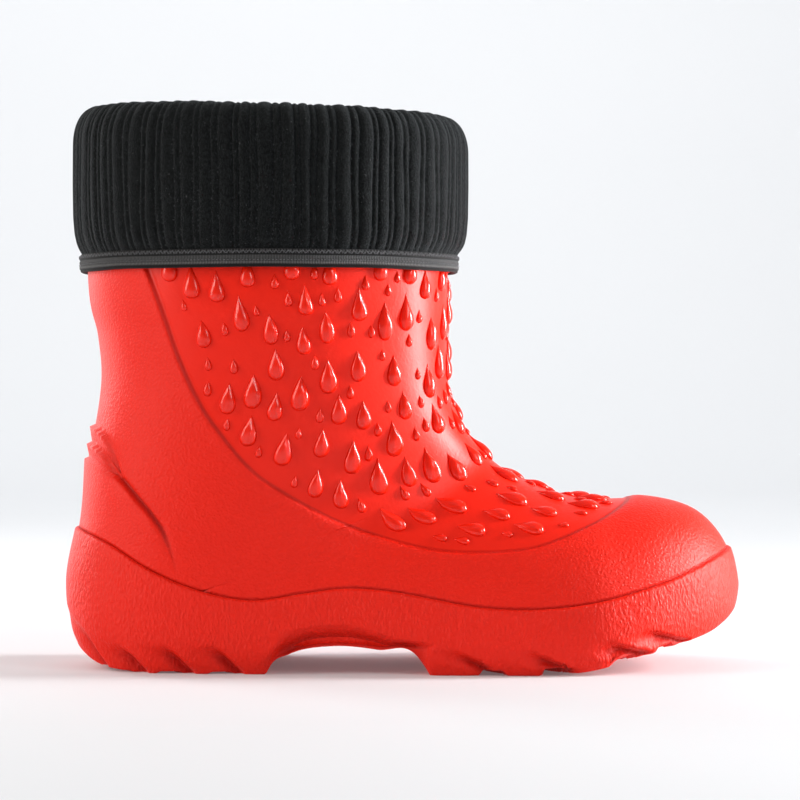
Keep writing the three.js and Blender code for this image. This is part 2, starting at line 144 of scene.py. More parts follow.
def station(t):
    """Rows of STATIONS at fractional stations t, on a smooth curve through them."""
    i = np.clip(np.floor(t).astype(int), 0, LAST - 1)
    f = (t - i)[..., None]
    a, b, c, d = (PADDED[i + k] for k in range(4))
    return b + 0.5 * f * (c - a + f * (2 * a - 5 * b + 4 * c - d + f * (3 * (b - c) + d - a)))


def cut_at(t, inset):
    """(front, back, half width, row) of the cuts at t, with the boot's outside inset by a distance."""
    row = station(t)
    step = 0.02
    ahead, behind = station(np.minimum(t + step, LAST)), station(np.maximum(t - step, 0))
    ends = []
    for k, side in ((0, 1), (2, -1)):
        along = unit(ahead[..., k : k + 2] - behind[..., k : k + 2])
        square = side * np.stack([along[..., 1], -along[..., 0]], -1)
        tip = np.clip((t - LAST + 0.3) / 0.3, 0, 1)[..., None]
        square = square * (1 - tip) + np.array([-1.0, 0.0]) * tip
        ends.append(row[..., k : k + 2] + square * np.asarray(inset)[..., None])
    full = row[..., HALF_WIDTH]
    half = np.where(t <= TOE_START, full - inset, full * (1 - inset / STATIONS[TOE_START, HALF_WIDTH]))
    return ends[0], ends[1], np.maximum(half, 0), row


def body_point(t, a, inset=0.0):
    """Points of the boot's outside. t runs from the rim to the toe, and a round each cut from its front over
    the lateral side (pi / 2) to its back (pi) and on over the medial side."""
    t = np.clip(np.asarray(t, float), 0, LAST)
    inset = np.broadcast_to(np.asarray(inset, float), t.shape)
    front, back, half, row = cut_at(t, inset)
    a = np.mod(a, 2 * np.pi)
    turn = np.where(a <= np.pi, a, 2 * np.pi - a)
    q = np.where(turn <= np.pi / 2, turn, np.pi - turn)
    power = np.where(turn <= np.pi / 2, row[..., ROUND_FRONT], row[..., ROUND_BACK])
    across = np.abs(np.sin(q)) ** (2 / power) * half
    depth = 1 - np.abs(np.cos(q)) ** (2 / power)
    widest = row[..., WIDEST]
    u = np.where(turn <= np.pi / 2, widest * depth, 1 - (1 - widest) * depth)
    place = front + (back - front) * u[..., None]
    side = np.where(a <= np.pi, -1, 1)
    return np.stack([place[..., 0], row[..., SHIFT] + side * across, place[..., 1]], -1)


def curve(points):
    """A smooth height over x through a few points, as a function."""
    xs, zs = np.array(points, float).T
    xs = xs * FOOT_SCALE
    slope = np.gradient(zs, xs)

    def height(x):
        x = np.clip(x, xs[0], xs[-1])
        i = np.clip(np.searchsorted(xs, x) - 1, 0, len(xs) - 2)
        w = xs[i + 1] - xs[i]
        f = (x - xs[i]) / w
        rise = (2 * f**3 - 3 * f**2 + 1) * zs[i] + (3 * f**2 - 2 * f**3) * zs[i + 1]
        return rise + w * ((f**3 - 2 * f**2 + f) * slope[i] + (f**3 - f**2) * slope[i + 1])

    return height


band_line = curve(
    [(-109, 45.5), (-101.5, 43.5), (-90, 39), (-77.8, 31.9), (-63, 25.8), (-45, 22.6), (-31, 24.6),
     (-18.5, 26.2), (-4, 25.4), (9.2, 23.1), (21, 21), (32, 20.2), (45, 20.5), (57.4, 22.1), (69, 24.9),
     (80.9, 28.5), (97.3, 35.3), (109, 40)]
)
tread_curve = curve(
    [(-109, 15), (-102.5, 7.5), (-96, 2.6), (-86, 0), (-70, 0), (0, 0), (28, 0), (41, 0), (55, 1.2),
     (71, 5.2), (88, 9.8), (97, 13.1), (104, 18.5), (109, 26)]
)


def ground_line(x):
    """Height of the lugs' lower faces: on the ground but for the heel's and the toe's upward curves."""
    return np.maximum(tread_curve(x), 0)


floor_rise = curve([(-120, 0), (10, 0), (35, 0), (55, 0.8), (75, 3.5), (90, 7), (112, 12)])


def smooth(low, high, value):
    """0 below low, 1 above high, and a soft step between."""
    f = np.clip((value - low) / (high - low), 0, 1)
    return f * f * (3 - 2 * f)


def beside_line(line, x, z):
    """Signed distance of side-view places from a line z = line(x): positive above it."""
    step = 0.2
    slope = (line(x + step) - line(x - step)) / (2 * step)
    return (z - line(x)) / np.sqrt(1 + slope**2)


# ------------------------------------------------------------------ meshes from grids of points
def make_piece(name, points, faces, material, body, slot, replaces, **attributes):
    """A mesh piece of points in millimetres that stands for CAD nodes."""
    mesh = bpy.data.meshes.new(name)
    mesh.from_pydata((np.asarray(points) * MM).tolist(), [], faces)
    for label, values in attributes.items():
        layer = mesh.attributes.new(label, "FLOAT", "POINT")
        layer.data.foreach_set("value", np.asarray(values, np.float32).ravel())
    work = bmesh.new()
    work.from_mesh(mesh)
    bmesh.ops.remove_doubles(work, verts=work.verts, dist=1e-6)
    bmesh.ops.recalc_face_normals(work, faces=work.faces)
    work.to_mesh(mesh)
    work.free()
    mesh.shade_smooth()
    mesh.materials.append(material)
    piece = bpy.data.objects.new(name, mesh)
    bpy.context.scene.collection.objects.link(piece)
    if body:
        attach(piece, body)
    if replaces:
        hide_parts(*replaces)
    return piece


def grid_faces(rows, columns, closed_columns=True, closed_rows=False, start=0):
    """Quads of a grid whose points run row by row."""
    r = np.arange(rows if closed_rows else rows - 1)
    c = np.arange(columns if closed_columns else columns - 1)
    r, c = np.meshgrid(r, c, indexing="ij")
    r2, c2 = (r + 1) % rows, (c + 1) % columns
    corners = [r * columns + c, r * columns + c2, r2 * columns + c2, r2 * columns + c]
    return (start + np.stack(corners, -1).reshape(-1, 4)).tolist()


def make_rings(name, rings, material, body, slot, node, closed_rows=False, **attributes):
    """A piece of closed rings. closed_rows joins the last ring to the first."""
    rings = np.asarray(rings)
    faces = grid_faces(*rings.shape[:2], closed_rows=closed_rows)
    return make_piece(name, rings.reshape(-1, 3), faces, material, body, slot, [node], **attributes)


def grid_normals(points):
    """Unit normals of a grid of closed rings, facing out of the boot where the rings run down its outside."""
    return unit(np.cross(np.roll(points, -1, 1) - np.roll(points, 1, 1), np.gradient(points, axis=0)))


def thick_patch(outer, inner):
    """Points and faces of a closed slab between two equal grids with open edges."""
    rows, columns = outer.shape[:2]
    count = rows * columns
    faces = grid_faces(rows, columns, False)
    faces += [face[::-1] for face in grid_faces(rows, columns, False, start=count)]
    rim = [(0, c) for c in range(columns)] + [(r, columns - 1) for r in range(1, rows)]
    rim += [(rows - 1, c) for c in range(columns - 2, -1, -1)] + [(r, 0) for r in range(rows - 2, 0, -1)]
    rim = [r * columns + c for r, c in rim]
    for a, b in zip(rim, rim[1:] + rim[:1]):
        faces.append([a, b, b + count, a + count])
    return np.vstack([outer.reshape(-1, 3), inner.reshape(-1, 3)]), faces


def resample(path, weight, count):
    """count + 1 points spread along a path, closer together where the weight is high."""
    length = np.linalg.norm(np.diff(path, axis=0), axis=1) * (weight[1:] + weight[:-1]) / 2
    place = np.concatenate([[0], np.cumsum(length + 1e-9)])
    return along_path(np.linspace(0, place[-1], count + 1), place, path)


def mirrored(half, shift):
    """Closed rings from lateral halves that run from the front to the middle of the floor."""
    other = half[:, -2:0:-1].copy()
    other[..., 1] = 2 * shift[:, None] - other[..., 1]
    return np.concatenate([half, other], 1)


# ------------------------------------------------------------------ materials
class Nodes:
    """A material's node tree, with short calls to add and link its nodes."""

    def __init__(self, name):
        self.material = bpy.data.materials.new(name)
        self.material.use_nodes = True
        self.tree = self.material.node_tree
        self.shader = self.tree.nodes["Principled BSDF"]

    def add(self, kind, inputs=(), **settings):
        node = self.tree.nodes.new(kind)
        for key, value in settings.items():
            setattr(node, key, value)
        for key, value in dict(inputs).items():
            self.put(node.inputs[key], value)
        return node

    def put(self, socket, value):
        if isinstance(value, bpy.types.NodeSocket):
            self.tree.links.new(value, socket)
        else:
            socket.default_value = value

    def math(self, operation, a, b=0.5, c=0.5):
        return self.add("ShaderNodeMath", {0: a, 1: b, 2: c}, operation=operation).outputs[0]

    def times(self, a, b):
        return self.math("MULTIPLY", a, b)

    def times_plus(self, a, b, c):
        return self.math("MULTIPLY_ADD", a, b, c)

    def most(self, a, b):
        return self.math("MAXIMUM", a, b)

    def gap(self, a, b):
        return self.math("ABSOLUTE", self.math("SUBTRACT", a, b))

    def place(self, scale=(1, 1, 1)):
        """Object coordinates, scaled."""
        source = self.add("ShaderNodeTexCoord").outputs["Object"]
        return self.add("ShaderNodeMapping", {"Vector": source, "Scale": scale}).outputs[0]

    def noise(self, scale, detail=3.0, at=None, roughness=0.5):
        inputs = {"Scale": scale, "Detail": detail, "Roughness": roughness, "Vector": at or self.place()}
        return self.add("ShaderNodeTexNoise", inputs).outputs[0]

    def cells(self, scale, at=None, feature="F1"):
        inputs = {"Scale": scale, "Vector": at or self.place()}
        return self.add("ShaderNodeTexVoronoi", inputs, feature=feature).outputs["Distance"]

    def attribute(self, name):
        return self.add("ShaderNodeAttribute", attribute_name=name).outputs["Fac"]

    def range(self, value, low, high, to_low=0.0, to_high=1.0):
        inputs = {0: value, 1: low, 2: high, 3: to_low, 4: to_high}
        return self.add("ShaderNodeMapRange", inputs).outputs[0]

    def soft_step(self, value, low, high):
        """A soft step from 0 at low to 1 at high."""
        inputs = {0: value, 1: low, 2: high}
        return self.add("ShaderNodeMapRange", inputs, interpolation_type="SMOOTHSTEP").outputs[0]

    def mix(self, share, a, b):
        """A colour between a and b."""
        return self.add("ShaderNodeMix", {0: share, 6: a, 7: b}, data_type="RGBA").outputs[2]

    def bump(self, height, distance, strength=1.0, after=None):
        inputs = {"Height": height, "Distance": distance, "Strength": strength}
        if after:
            inputs["Normal"] = after
        return self.add("ShaderNodeBump", inputs).outputs[0]

    def finish(self, **sockets):
        """The material, once each of its shader's named sockets has its value or link."""
        for key, value in sockets.items():
            self.put(self.shader.inputs[key.replace("_", " ")], value)
        return self.material


RED = (0.84, 0.0155, 0.0035, 1)
DEEP_RED = (0.7, 0.0105, 0.003, 1)
# Colour of the painted shade in creases, along the relief's lines and in hollows.
PAINTED_SHADE_RED = (0.3, 0.0025, 0.001, 1)


def upper_creases(n):
    """How deep a place of the upper lies in a crease, from its distances in mm to the relief's lines. The
    value dents
    the skin as a bump and paints shade: the panel, counter and band lines and the heel fins' hollows are
    coloured darker as if in shadow.
    """

    def line(name, middle, half, depth):
        return n.times(n.soft_step(n.gap(n.attribute(name), middle), half, 0.0), depth)

    # Painted shade in a heel fin's hollow, between two of the fins' lines.
    def hollow(above, below):
        inside = n.soft_step(n.attribute(above), 0.0, 0.5), n.soft_step(n.attribute(below), 0.1, -0.5)
        return n.times(n.times(*inside), n.attribute("fin_hollow_shade"))

    # Painted shade and a dip along the counter, panel and band lines.
    counter = line("counter", -0.15, 0.95, n.attribute("counter_depth"))
    crease = n.most(line("panel", 0.5, 0.85, 0.6), counter)
    crease = n.most(crease, line("band", -0.2, 1.25, 0.85))
    return n.most(n.most(crease, hollow("fin_1", "fin_2")), hollow("fin_2", "counter"))


def red_foam(name, stretch, roughness, depth, specular=0.26, creases=None):
    """Moulded foam with a leather grain. stretch draws the grain out upwards. Vertex attributes say how
    grained the skin is, and how deep it lies in a crease where no function is given to work that out. The
    crease value dents
    the skin as a bump and also paints shade: the colour darkens there as if in shadow."""
    n = Nodes(name)
    grain = n.attribute("grain")
    crease = creases(n) if creases else n.attribute("crease")
    at = n.place((1, 1, 1 / stretch))
    warp = n.times(n.noise(420, 2, at), 0.0011)
    bent = n.add("ShaderNodeVectorMath", {0: at, 1: warp}, operation="ADD").outputs[0]
    pebbles = n.range(n.cells(1250, bent, "SMOOTH_F1"), 0.05, 0.62, 1, 0)
    leather = n.times_plus(n.noise(2600, 3, at, 0.6), 0.55, n.times(pebbles, 0.6))
    normal = n.bump(n.noise(95, 4), 0.00035, 0.12)
    normal = n.bump(n.math("SUBTRACT", 1, crease), 0.0006, 0.8, normal)
    normal = n.bump(n.times(leather, grain), depth, 1.0, normal)
    shade = n.range(n.noise(28, 5), 0.35, 0.7)
    color = n.mix(n.times(shade, 0.2), RED, DEEP_RED)
    color = n.mix(n.times(n.math("SUBTRACT", 1, leather), n.times(grain, 0.5)), color, DEEP_RED)
    # Painted shade: the colour darkens towards the shade red where the crease value is high.
    color = n.mix(n.times(crease, 0.85), color, PAINTED_SHADE_RED)
    gloss = n.times_plus(n.noise(160, 3), 0.06, n.times_plus(grain, 0.1, roughness))
    return n.finish(Base_Color=color, Roughness=gloss, Normal=normal, Specular_IOR_Level=specular, IOR=1.45)


def velour():
    """Ribbed cotton velour, near black: soft pile, paler knit dots between the ribs and specks of lint."""
    n = Nodes("cuff_velour")
    at = n.place()
    valley = n.range(n.attribute("rib"), 0.1, 0.62, 1, 0)
    dots = n.times(n.range(n.cells(1050, n.place((1, 1, 0.7))), 0.1, 0.34, 1, 0), valley)
    pile = n.noise(1900, 4, n.place((1, 1, 0.6)), 0.75)
    tufts = n.noise(330, 3, at)
    lint = n.range(n.noise(1500, 2, at), 0.7, 0.76)
    nap = n.mix(n.range(pile, 0.36, 0.7), (0.0012, 0.0017, 0.0018, 1), (0.0175, 0.0195, 0.02, 1))
    nap = n.mix(n.range(tufts, 0.3, 0.75, 0, 0.5), nap, (0.0015, 0.002, 0.0021, 1))
    color = n.mix(n.times(dots, 0.75), nap, (0.062, 0.068, 0.071, 1))
    color = n.mix(n.times(lint, 0.5), color, (0.13, 0.135, 0.14, 1))
    normal = n.bump(pile, 0.0005, 1.0, n.bump(tufts, 0.0004, 0.6))
    sheen = {"Sheen_Weight": 0.16, "Sheen_Roughness": 0.4, "Sheen_Tint": (0.7, 0.75, 0.8, 1)}
    return n.finish(Base_Color=color, Roughness=0.95, Normal=normal, Specular_IOR_Level=0.1, **sheen)


TAPE_THREADS = 640  # upright threads of the hem tape, all round
TAPE_LOOPS = 330  # overlock loops along its top edge


def binding_tape():
    """Hem tape in four bands: overlocked top edge, dark fold, upright threads with a dotted row, and a dark
    lip, the tape's dark cloth painted near black to stand in for the shadow under the hem. The vertex
    attribute down is the distance below the tape's top edge."""
    n = Nodes("hem_tape")
    down = n.attribute("down")
    middle = ((UPPER[0][0] + STATIONS[0][0]) / -2 * MM, 0, 0)
    source = n.add("ShaderNodeTexCoord").outputs["Object"]
    centred = n.add("ShaderNodeMapping", {"Vector": source, "Location": middle}).outputs[0]
    turn = n.add("ShaderNodeTexGradient", {"Vector": centred}, gradient_type="RADIAL").outputs["Fac"]
    threads = n.times_plus(n.math("SINE", n.times(turn, 2 * math.pi * TAPE_THREADS)), 0.5, 0.5)
    zigzag = n.math("PINGPONG", n.times(turn, TAPE_LOOPS * 2), 1.0)
    loops = n.range(n.gap(down, n.times_plus(zigzag, 0.9, 0.35)), 0.0, 0.32, 1, 0)
    row_dots = n.times(n.range(n.gap(down, 4.1), 0.1, 0.3, 1, 0), threads)
    body_share = n.times(n.range(down, 1.75, 2.05), n.range(down, 4.7, 4.4))
    top_share = n.range(down, 1.75, 1.45)
    cloth = n.times_plus(n.times(threads, body_share), 0.8, n.times(loops, top_share))
    fuzz = n.noise(3000, 3, None, 0.7)
    dark = (0.004, 0.0045, 0.005, 1)
    # The fold and the lip take the near-black colour; at the lip it is painted shadow under the hem.
    base = n.mix(n.most(body_share, top_share), dark, (0.017, 0.0165, 0.017, 1))
    color = n.mix(n.times(cloth, 0.9), base, (0.15, 0.15, 0.152, 1))
    color = n.mix(n.times(row_dots, 0.8), color, (0.2, 0.195, 0.19, 1))
    color = n.mix(n.range(fuzz, 0.35, 0.7, 0, 0.45), color, dark)
    normal = n.bump(n.times_plus(fuzz, 0.5, cloth), 0.00022, 1.0)
    sheen = {"Sheen_Weight": 0.05, "Sheen_Roughness": 0.5}
    return n.finish(Base_Color=color, Roughness=0.85, Normal=normal, Specular_IOR_Level=0.2, **sheen)


def woven(name, dark, pale, thread, stretch, depth, roughness=0.8, sheen=0.1):
    """A plain thread material: fine yarns whose size is given as cells in a metre, drawn out along Z."""
    n = Nodes(name)
    at = n.place((1, 1, stretch))
    fibres = n.noise(thread * 2.2, 3, at, 0.65)
    light = n.times_plus(fibres, 0.5, n.times(n.range(n.cells(thread, at), 0.1, 0.7, 1, 0), 0.6))
    color = n.mix(light, dark, pale)
    color = n.mix(n.range(n.noise(45, 3), 0.35, 0.75, 0, 0.25), color, dark)
    look = {"Sheen_Weight": sheen, "Sheen_Roughness": 0.5, "Specular_IOR_Level": 0.2}
    return n.finish(Base_Color=color, Roughness=roughness, Normal=n.bump(light, depth, 0.9), **look)


FOAM_UPPER = red_foam("red_foam_upper", 1.0, 0.34, 0.0002, creases=upper_creases)
FOAM_BAND = red_foam("red_foam_band", 1.9, 0.32, 0.00034)
FOAM_DROPS = red_foam("red_foam_drops", 1.0, 0.17, 0.0001, 0.5)
VELOUR = velour()
TAPE = binding_tape()
THREAD = woven("thread", (0.05, 0.05, 0.055, 1), (0.2, 0.2, 0.215, 1), 3200, 1.0, 0.0001, 0.6)
THREAD_DARK = woven("seam_thread", (0.012, 0.012, 0.013, 1), (0.07, 0.07, 0.075, 1), 2600, 1.0, 0.0001, 0.7)
LINER = woven("liner_pile", (0.012, 0.012, 0.013, 1), (0.05, 0.05, 0.053, 1), 1300, 0.8, 0.0003, 0.95, 0.25)
LEG_KNIT = woven("leg_knit", (0.01, 0.01, 0.011, 1), (0.042, 0.042, 0.046, 1), 1100, 0.55, 0.0003, 0.95, 0.2)
FELT_CLOTH = woven("felt", (0.035, 0.035, 0.038, 1), (0.1, 0.1, 0.105, 1), 1500, 1.0, 0.0003, 0.95, 0.15)
FOAM_SHEET = woven("insole_foam", (0.3, 0.3, 0.3, 1), (0.45, 0.45, 0.44, 1), 900, 1.0, 0.0002, 0.8, 0.0)
ELASTIC_WEAVE = woven("elastic", (0.25, 0.25, 0.25, 1), (0.5, 0.5, 0.49, 1), 2000, 0.4, 0.0002, 0.7, 0.0)

# ------------------------------------------------------------------ upper: lines of its relief, in side view
panel_line = curve(
    [(-95, 166), (-85, 139), (-78.5, 123.4), (-74.2, 112), (-68.6, 96), (-62.2, 82.2), (-54.2, 70.6),
     (-45.8, 61.0), (-37.2, 55.0), (-28.9, 50.2), (-19.9, 45.7), (-7.2, 41.3), (8.0, 37.6), (23.2, 36.7),
     (40.6, 38.5), (53.0, 43.1), (65.0, 48.8), (72.5, 53.6), (84, 62)]
)
FIN_MEET = (-85.7, 58.4)  # where the heel fins run together
counter_line = curve(
    [(-98, 65.4), (-95.9, 64.6), (-90.1, 61.2), FIN_MEET, (-80.9, 53.1), (-76.3, 47.8), (-72.8, 42.5),
     (-70, 35), (-68, 27), (-60, 0)]
)
fin_1_line = curve([(-97, 75.6), (-94.2, 74.4), (-89.2, 69.0), (-86.9, 63.3), FIN_MEET, (-80.9, 53.1)])
fin_2_line = curve([(-98, 70.4), (-94.9, 69.2), (-89.8, 64.7), (-87.2, 61.0), FIN_MEET, (-80.9, 53.1)])
FIN_RISE = 1.9
FIN_BACK = FIN_MEET[0]
PANEL_SINK = 0.6
QUARTER_RISE = 0.2
NO_LINE = 8.0  # distance of a place that no line of the relief is near


def upper_relief(x, z):
    """How far the upper's surface stands out from its plain shape, and the vertex attributes of its skin: its
    grain, its distances to the relief's lines, and how much shade is painted in the heel fins' hollows.
    """
    panel = beside_line(panel_line, x, z)
    inside = smooth(-0.4, 1.1, panel)
    height = QUARTER_RISE - (PANEL_SINK + QUARTER_RISE) * inside
    high = smooth(52, 88, z)
    height = height + 0.4 * high * np.exp(-(((panel + 0.5) / 0.6) ** 2))
    height = height + 0.14 * np.exp(-(((panel + 1.8) / 0.9) ** 2))
    d1 = -beside_line(fin_1_line, x, z)
    d2 = -beside_line(fin_2_line, x, z)
    d3 = -beside_line(counter_line, x, z)
    room = smooth(FIN_BACK + 0.5, FIN_BACK - 6.0, x)
    hollow = np.zeros_like(x)
    for above, below, proud in ((d1, d2, FIN_RISE), (d2, d3, FIN_RISE + 0.2)):
        between = (above > 0) & (below < 0)
        share = np.clip(above / (above - below + 1e-6), 0, 1)
        fin = proud * (0.15 + 0.85 * room) * smooth(0, 0.8, above) * (1 - 0.9 * share)
        fin = fin - 0.9 * (1 - room) * np.sin(np.pi * share)
        height = height + np.where(between & (x < FIN_BACK), fin, 0)
        # How much shade is painted in this fin's hollow, more towards its lower line.
        hollow = np.where(between, (0.45 + 0.55 * share) * (1 - 0.8 * room), hollow)
    fade = smooth(-68.5, -77, x) * smooth(0, 1, (z - band_line(x)) / 20 + 0.05)
    counter = 1.8 * smooth(-0.3, 1.0, d3) * (0.25 + 0.75 * np.exp(-np.clip(d3, 0, 99) / 9)) * fade
    line = smooth(-68, -74, x) * smooth(FIN_BACK - 3, FIN_BACK + 1, x)
    height = height + counter - 0.4 * np.exp(-(((d3 + 0.5) / 0.8) ** 2)) * line
    skin = {"grain": 1 - 0.8 * inside, "panel": panel, "fin_1": d1, "fin_2": d2, "counter": d3}
    skin["band"] = z - band_line(x)
    # Strength of the painted shade and dip along the counter line, and of the painted shade in the fin
    # hollows.
    skin["counter_depth"] = 0.9 * line
    skin["fin_hollow_shade"] = 0.95 * hollow * smooth(FIN_BACK + 0.8, FIN_BACK - 0.4, x)
    return height, {name: np.clip(values, -NO_LINE, NO_LINE) for name, values in skin.items()}


COLUMNS = 220  # of half a ring of the upper
OUTER_STEPS = [20, 13, 13, 21, 29, 27, 20, 14, 12, 10, 9, 9, 9, 9, 10, 9, 7, 5]  # rings between two stations
INNER_STEPS = [5, 4, 3, 3, 4, 4, 4] + [3] * 11
FLOOR_WEIGHT = 0.6  # how dense the columns are on the hidden floor, beside the front of a ring


def half_rings(t, inset, tuck, floor, columns):
    """Lateral halves of rings at t, which end in the middle of the floor. Below the band they step in."""
    a = np.linspace(0, np.pi, 420)
    grid_t, grid_a = np.meshgrid(t, a, indexing="ij")
    plain = body_point(grid_t, grid_a, inset)
    below = band_line(plain[..., 0]) - plain[..., 2]
    points = body_point(grid_t, grid_a, inset + tuck * smooth(1.3, 3.0, below))
    under = points[..., 2] < floor + floor_rise(points[..., 0])
    shift = station(t)[:, SHIFT]
    density = 1 + 0.8 * smooth(2.0, 2.9, a)  # finer columns at the heel, for its fins
    halves = []
    for k in range(len(t)):
        path, weight = points[k], density
        if under[k].any():
            cross = max(int(np.argmax(under[k])), 1)
            edge = path[cross - 1].copy()
            edge[2] = floor + floor_rise(edge[0])
            middle = np.array([edge[0], shift[k], edge[2]])
            chord = edge + (middle - edge) * np.linspace(0, 1, 24)[:, None]
            path = np.vstack([path[:cross], chord])
            weight = np.concatenate([weight[:cross], np.full(24, FLOOR_WEIGHT)])
        halves.append(resample(path, weight, columns))
    return np.array(halves), shift


def ring_places(steps):
    """Values of t with a number of rings to each gap between stations."""
    return np.concatenate([k + np.arange(count) / count for k, count in enumerate(steps)])


def build_upper():
    t = np.append(ring_places(OUTER_STEPS), LAST - 0.03)
    outer = mirrored(*half_rings(t, 0.0, TUCK, FLOOR_TUCK, COLUMNS))
    x, z = outer[..., 0], outer[..., 2]
    height, skin = upper_relief(x, z)
    shown = smooth(3.2, 2.0, band_line(x) - z)
    rim_round = 1.6 * (1 - np.sqrt(np.clip(1 - np.clip((z - RIM + 1.6) / 1.6, 0, 1) ** 2, 0, 1)))
    outer = outer + grid_normals(outer) * (height * shown - rim_round)[..., None]
    t = np.append(ring_places(INNER_STEPS), LAST - 0.05)
    inner = mirrored(*half_rings(t, SHAFT_WALL, 0.0, FLOOR_SHELL, COLUMNS))
    inner[0] += grid_normals(inner)[0] * 1.2
    rings = np.concatenate([outer[::-1], inner])
    rows, columns = rings.shape[:2]
    tips = rows * columns
    last = (rows - 1) * columns
    faces = grid_faces(rows, columns)
    faces += [[tips, (c + 1) % columns, c] for c in range(columns)]
    faces += [[tips + 1, last + c, last + (c + 1) % columns] for c in range(columns)]
    points = np.vstack([rings.reshape(-1, 3), outer[-1].mean(0), inner[-1].mean(0)])
    inside = {"grain": 0.4, "counter_depth": 0, "fin_hollow_shade": 0}
    hidden = np.ones(len(inner) * columns + 2)
    for name, values in skin.items():
        skin[name] = np.concatenate([values[::-1].ravel(), hidden * inside.get(name, NO_LINE)])
    make_piece("upper_foam", points, faces, FOAM_UPPER, "boot", "red_foam", ["upper_shell"], **skin)


# ------------------------------------------------------------------ raised drops on the panel
DROP_SEED = 11
BIG = {"length": 10.8, "width": 5.7, "proud": 1.8, "rings": 7, "columns": 26}
SMALL = {"length": 5.0, "width": 2.8, "proud": 0.95, "rings": 4, "columns": 18}
DARTS = 42000
DROPS_TO = 158  # height that the drops reach, under the cuff
# each kind's least distance to the panel's edge, and the width and length that it keeps free of other drops
SPACING = {"big": (5.6, {"big": (7.6, 11.2)}), "small": (3.2, {"big": (4.7, 8.0), "small": (4.2, 6.6)})}


def frame_at(t, a):
    """Place, unit way down the boot, unit way across it and both rates at (t, a) of the panel's surface."""
    step = 0.02
    here = body_point(t, a, PANEL_SINK)
    rate_t = (body_point(t + step, a, PANEL_SINK) - body_point(t - step, a, PANEL_SINK)) / (2 * step)
    rate_a = (body_point(t, a + step, PANEL_SINK) - body_point(t, a - step, PANEL_SINK)) / (2 * step)
    down = unit(rate_t, 0)
    across = unit(rate_a - (rate_a * down).sum(-1, keepdims=True) * down, 0)
    return here, down, across, rate_t, rate_a


def scatter_drops():
    """(t, a) of the big and of the small drops, thrown like darts until no more fit."""
    chance = np.random.default_rng(DROP_SEED)
    t = chance.uniform(0.1, 15.6, DARTS)
    a = chance.uniform(0, 2 * np.pi, DARTS)
    here, down, across, rate_t, rate_a = frame_at(t, a)
    speed = np.linalg.norm(rate_t, axis=-1) * np.linalg.norm(rate_a, axis=-1)
    keep = chance.uniform(0, 1, DARTS) < speed / speed.max() * 2.2
    depth = beside_line(panel_line, here[:, 0], here[:, 2])
    placed = {"big": [], "small": []}

    def is_free(i, spacing):
        lift = np.cross(down[i], across[i])
        for other, (wide, long) in spacing.items():
            gap = here[placed[other]] - here[i]
            scaled = ((gap @ across[i]) / wide) ** 2 + ((gap @ down[i]) / long) ** 2
            if (scaled + ((gap @ lift) / wide) ** 2 < 1).any():
                return False
        return True

    for kind, (margin, spacing) in SPACING.items():
        for i in np.flatnonzero(keep & (depth > 2.6) & (here[:, 2] < DROPS_TO)):
            if depth[i] < margin or (kind == "small" and chance.uniform() < 0.2):
                continue
            if is_free(i, spacing):
                placed[kind].append(i)
    return {kind: (t[found], a[found]) for kind, found in placed.items()}


def drop_points(t, a, size, scale):
    """Points of drops at (t, a): rings from the rim to the middle, laid on the panel."""
    turn = np.linspace(0, 2 * np.pi, size["columns"], endpoint=False)
    share = np.append(np.linspace(1, 0.12, size["rings"]), 0)
    side = np.sin(turn) * np.abs(np.sin(turn / 2)) ** 1.45 * 1.36
    heart = 0.3  # where the rings close, from the middle towards the round end
    off_side = share[:, None] * side * size["width"] / 2
    off_down = (heart - share[:, None] * (np.cos(turn) + heart)) * size["length"] / 2
    lift = (size["proud"] + 0.15) * (1 - share**2.2) ** 0.62
    tail = smooth(-1.05, 0.15, off_down / (size["length"] / 2))
    lift = lift[:, None] * (0.3 + 0.7 * tail) - 0.15
    down, across, rate_t, rate_a = (values[:, None, None] for values in frame_at(t, a)[1:])
    t, a, scale = (values[:, None, None] for values in (t, a, scale))
    move = down * (off_down * scale)[..., None] + across * (off_side * scale)[..., None]
    tt, ta, aa = ((u * v).sum(-1) for u, v in ((rate_t, rate_t), (rate_t, rate_a), (rate_a, rate_a)))
    on_t, on_a = (move * rate_t).sum(-1), (move * rate_a).sum(-1)
    both = tt * aa - ta * ta
    step_t = (on_t * aa - on_a * ta) / both
    step_a = (on_a * tt - on_t * ta) / both
    return body_point(t + step_t, a + step_a, PANEL_SINK - lift * scale)


def build_drops():
    chance = np.random.default_rng(DROP_SEED + 1)
    places = scatter_drops()
    points, faces, start = [], [], 0
    for kind, size, low, high in (("big", BIG, 0.86, 1.08), ("small", SMALL, 0.8, 1.12)):
        t, a = places[kind]
        for drop in drop_points(t, a, size, chance.uniform(low, high, len(t))):
            rows, columns = drop.shape[:2]
            points.append(drop.reshape(-1, 3))
            faces += grid_faces(rows, columns, start=start)
            faces.append([start + c for c in range(columns)])
            start += rows * columns
    plain = np.zeros(start)
    points = np.vstack(points)
    make_piece("raised_drops", points, faces, FOAM_DROPS, "boot", "red_foam", [], grain=plain, crease=plain)


# ------------------------------------------------------------------ sole
def reach(inset, z):
    """Heel and toe ends, in x, of the boot's outline at height z, with its outside inset by a distance."""
    heel = cut_at(np.linspace(3.5, 9.5, 240), np.full(240, float(inset)))[1]
    t = np.linspace(13.6, LAST, 240)
    front, back = cut_at(t, np.full(240, float(inset)))[:2]
    toe = np.vstack([back, front[::-1]])
    return np.interp(z, heel[::-1, 1], heel[::-1, 0]), np.interp(z, toe[:, 1], toe[:, 0])


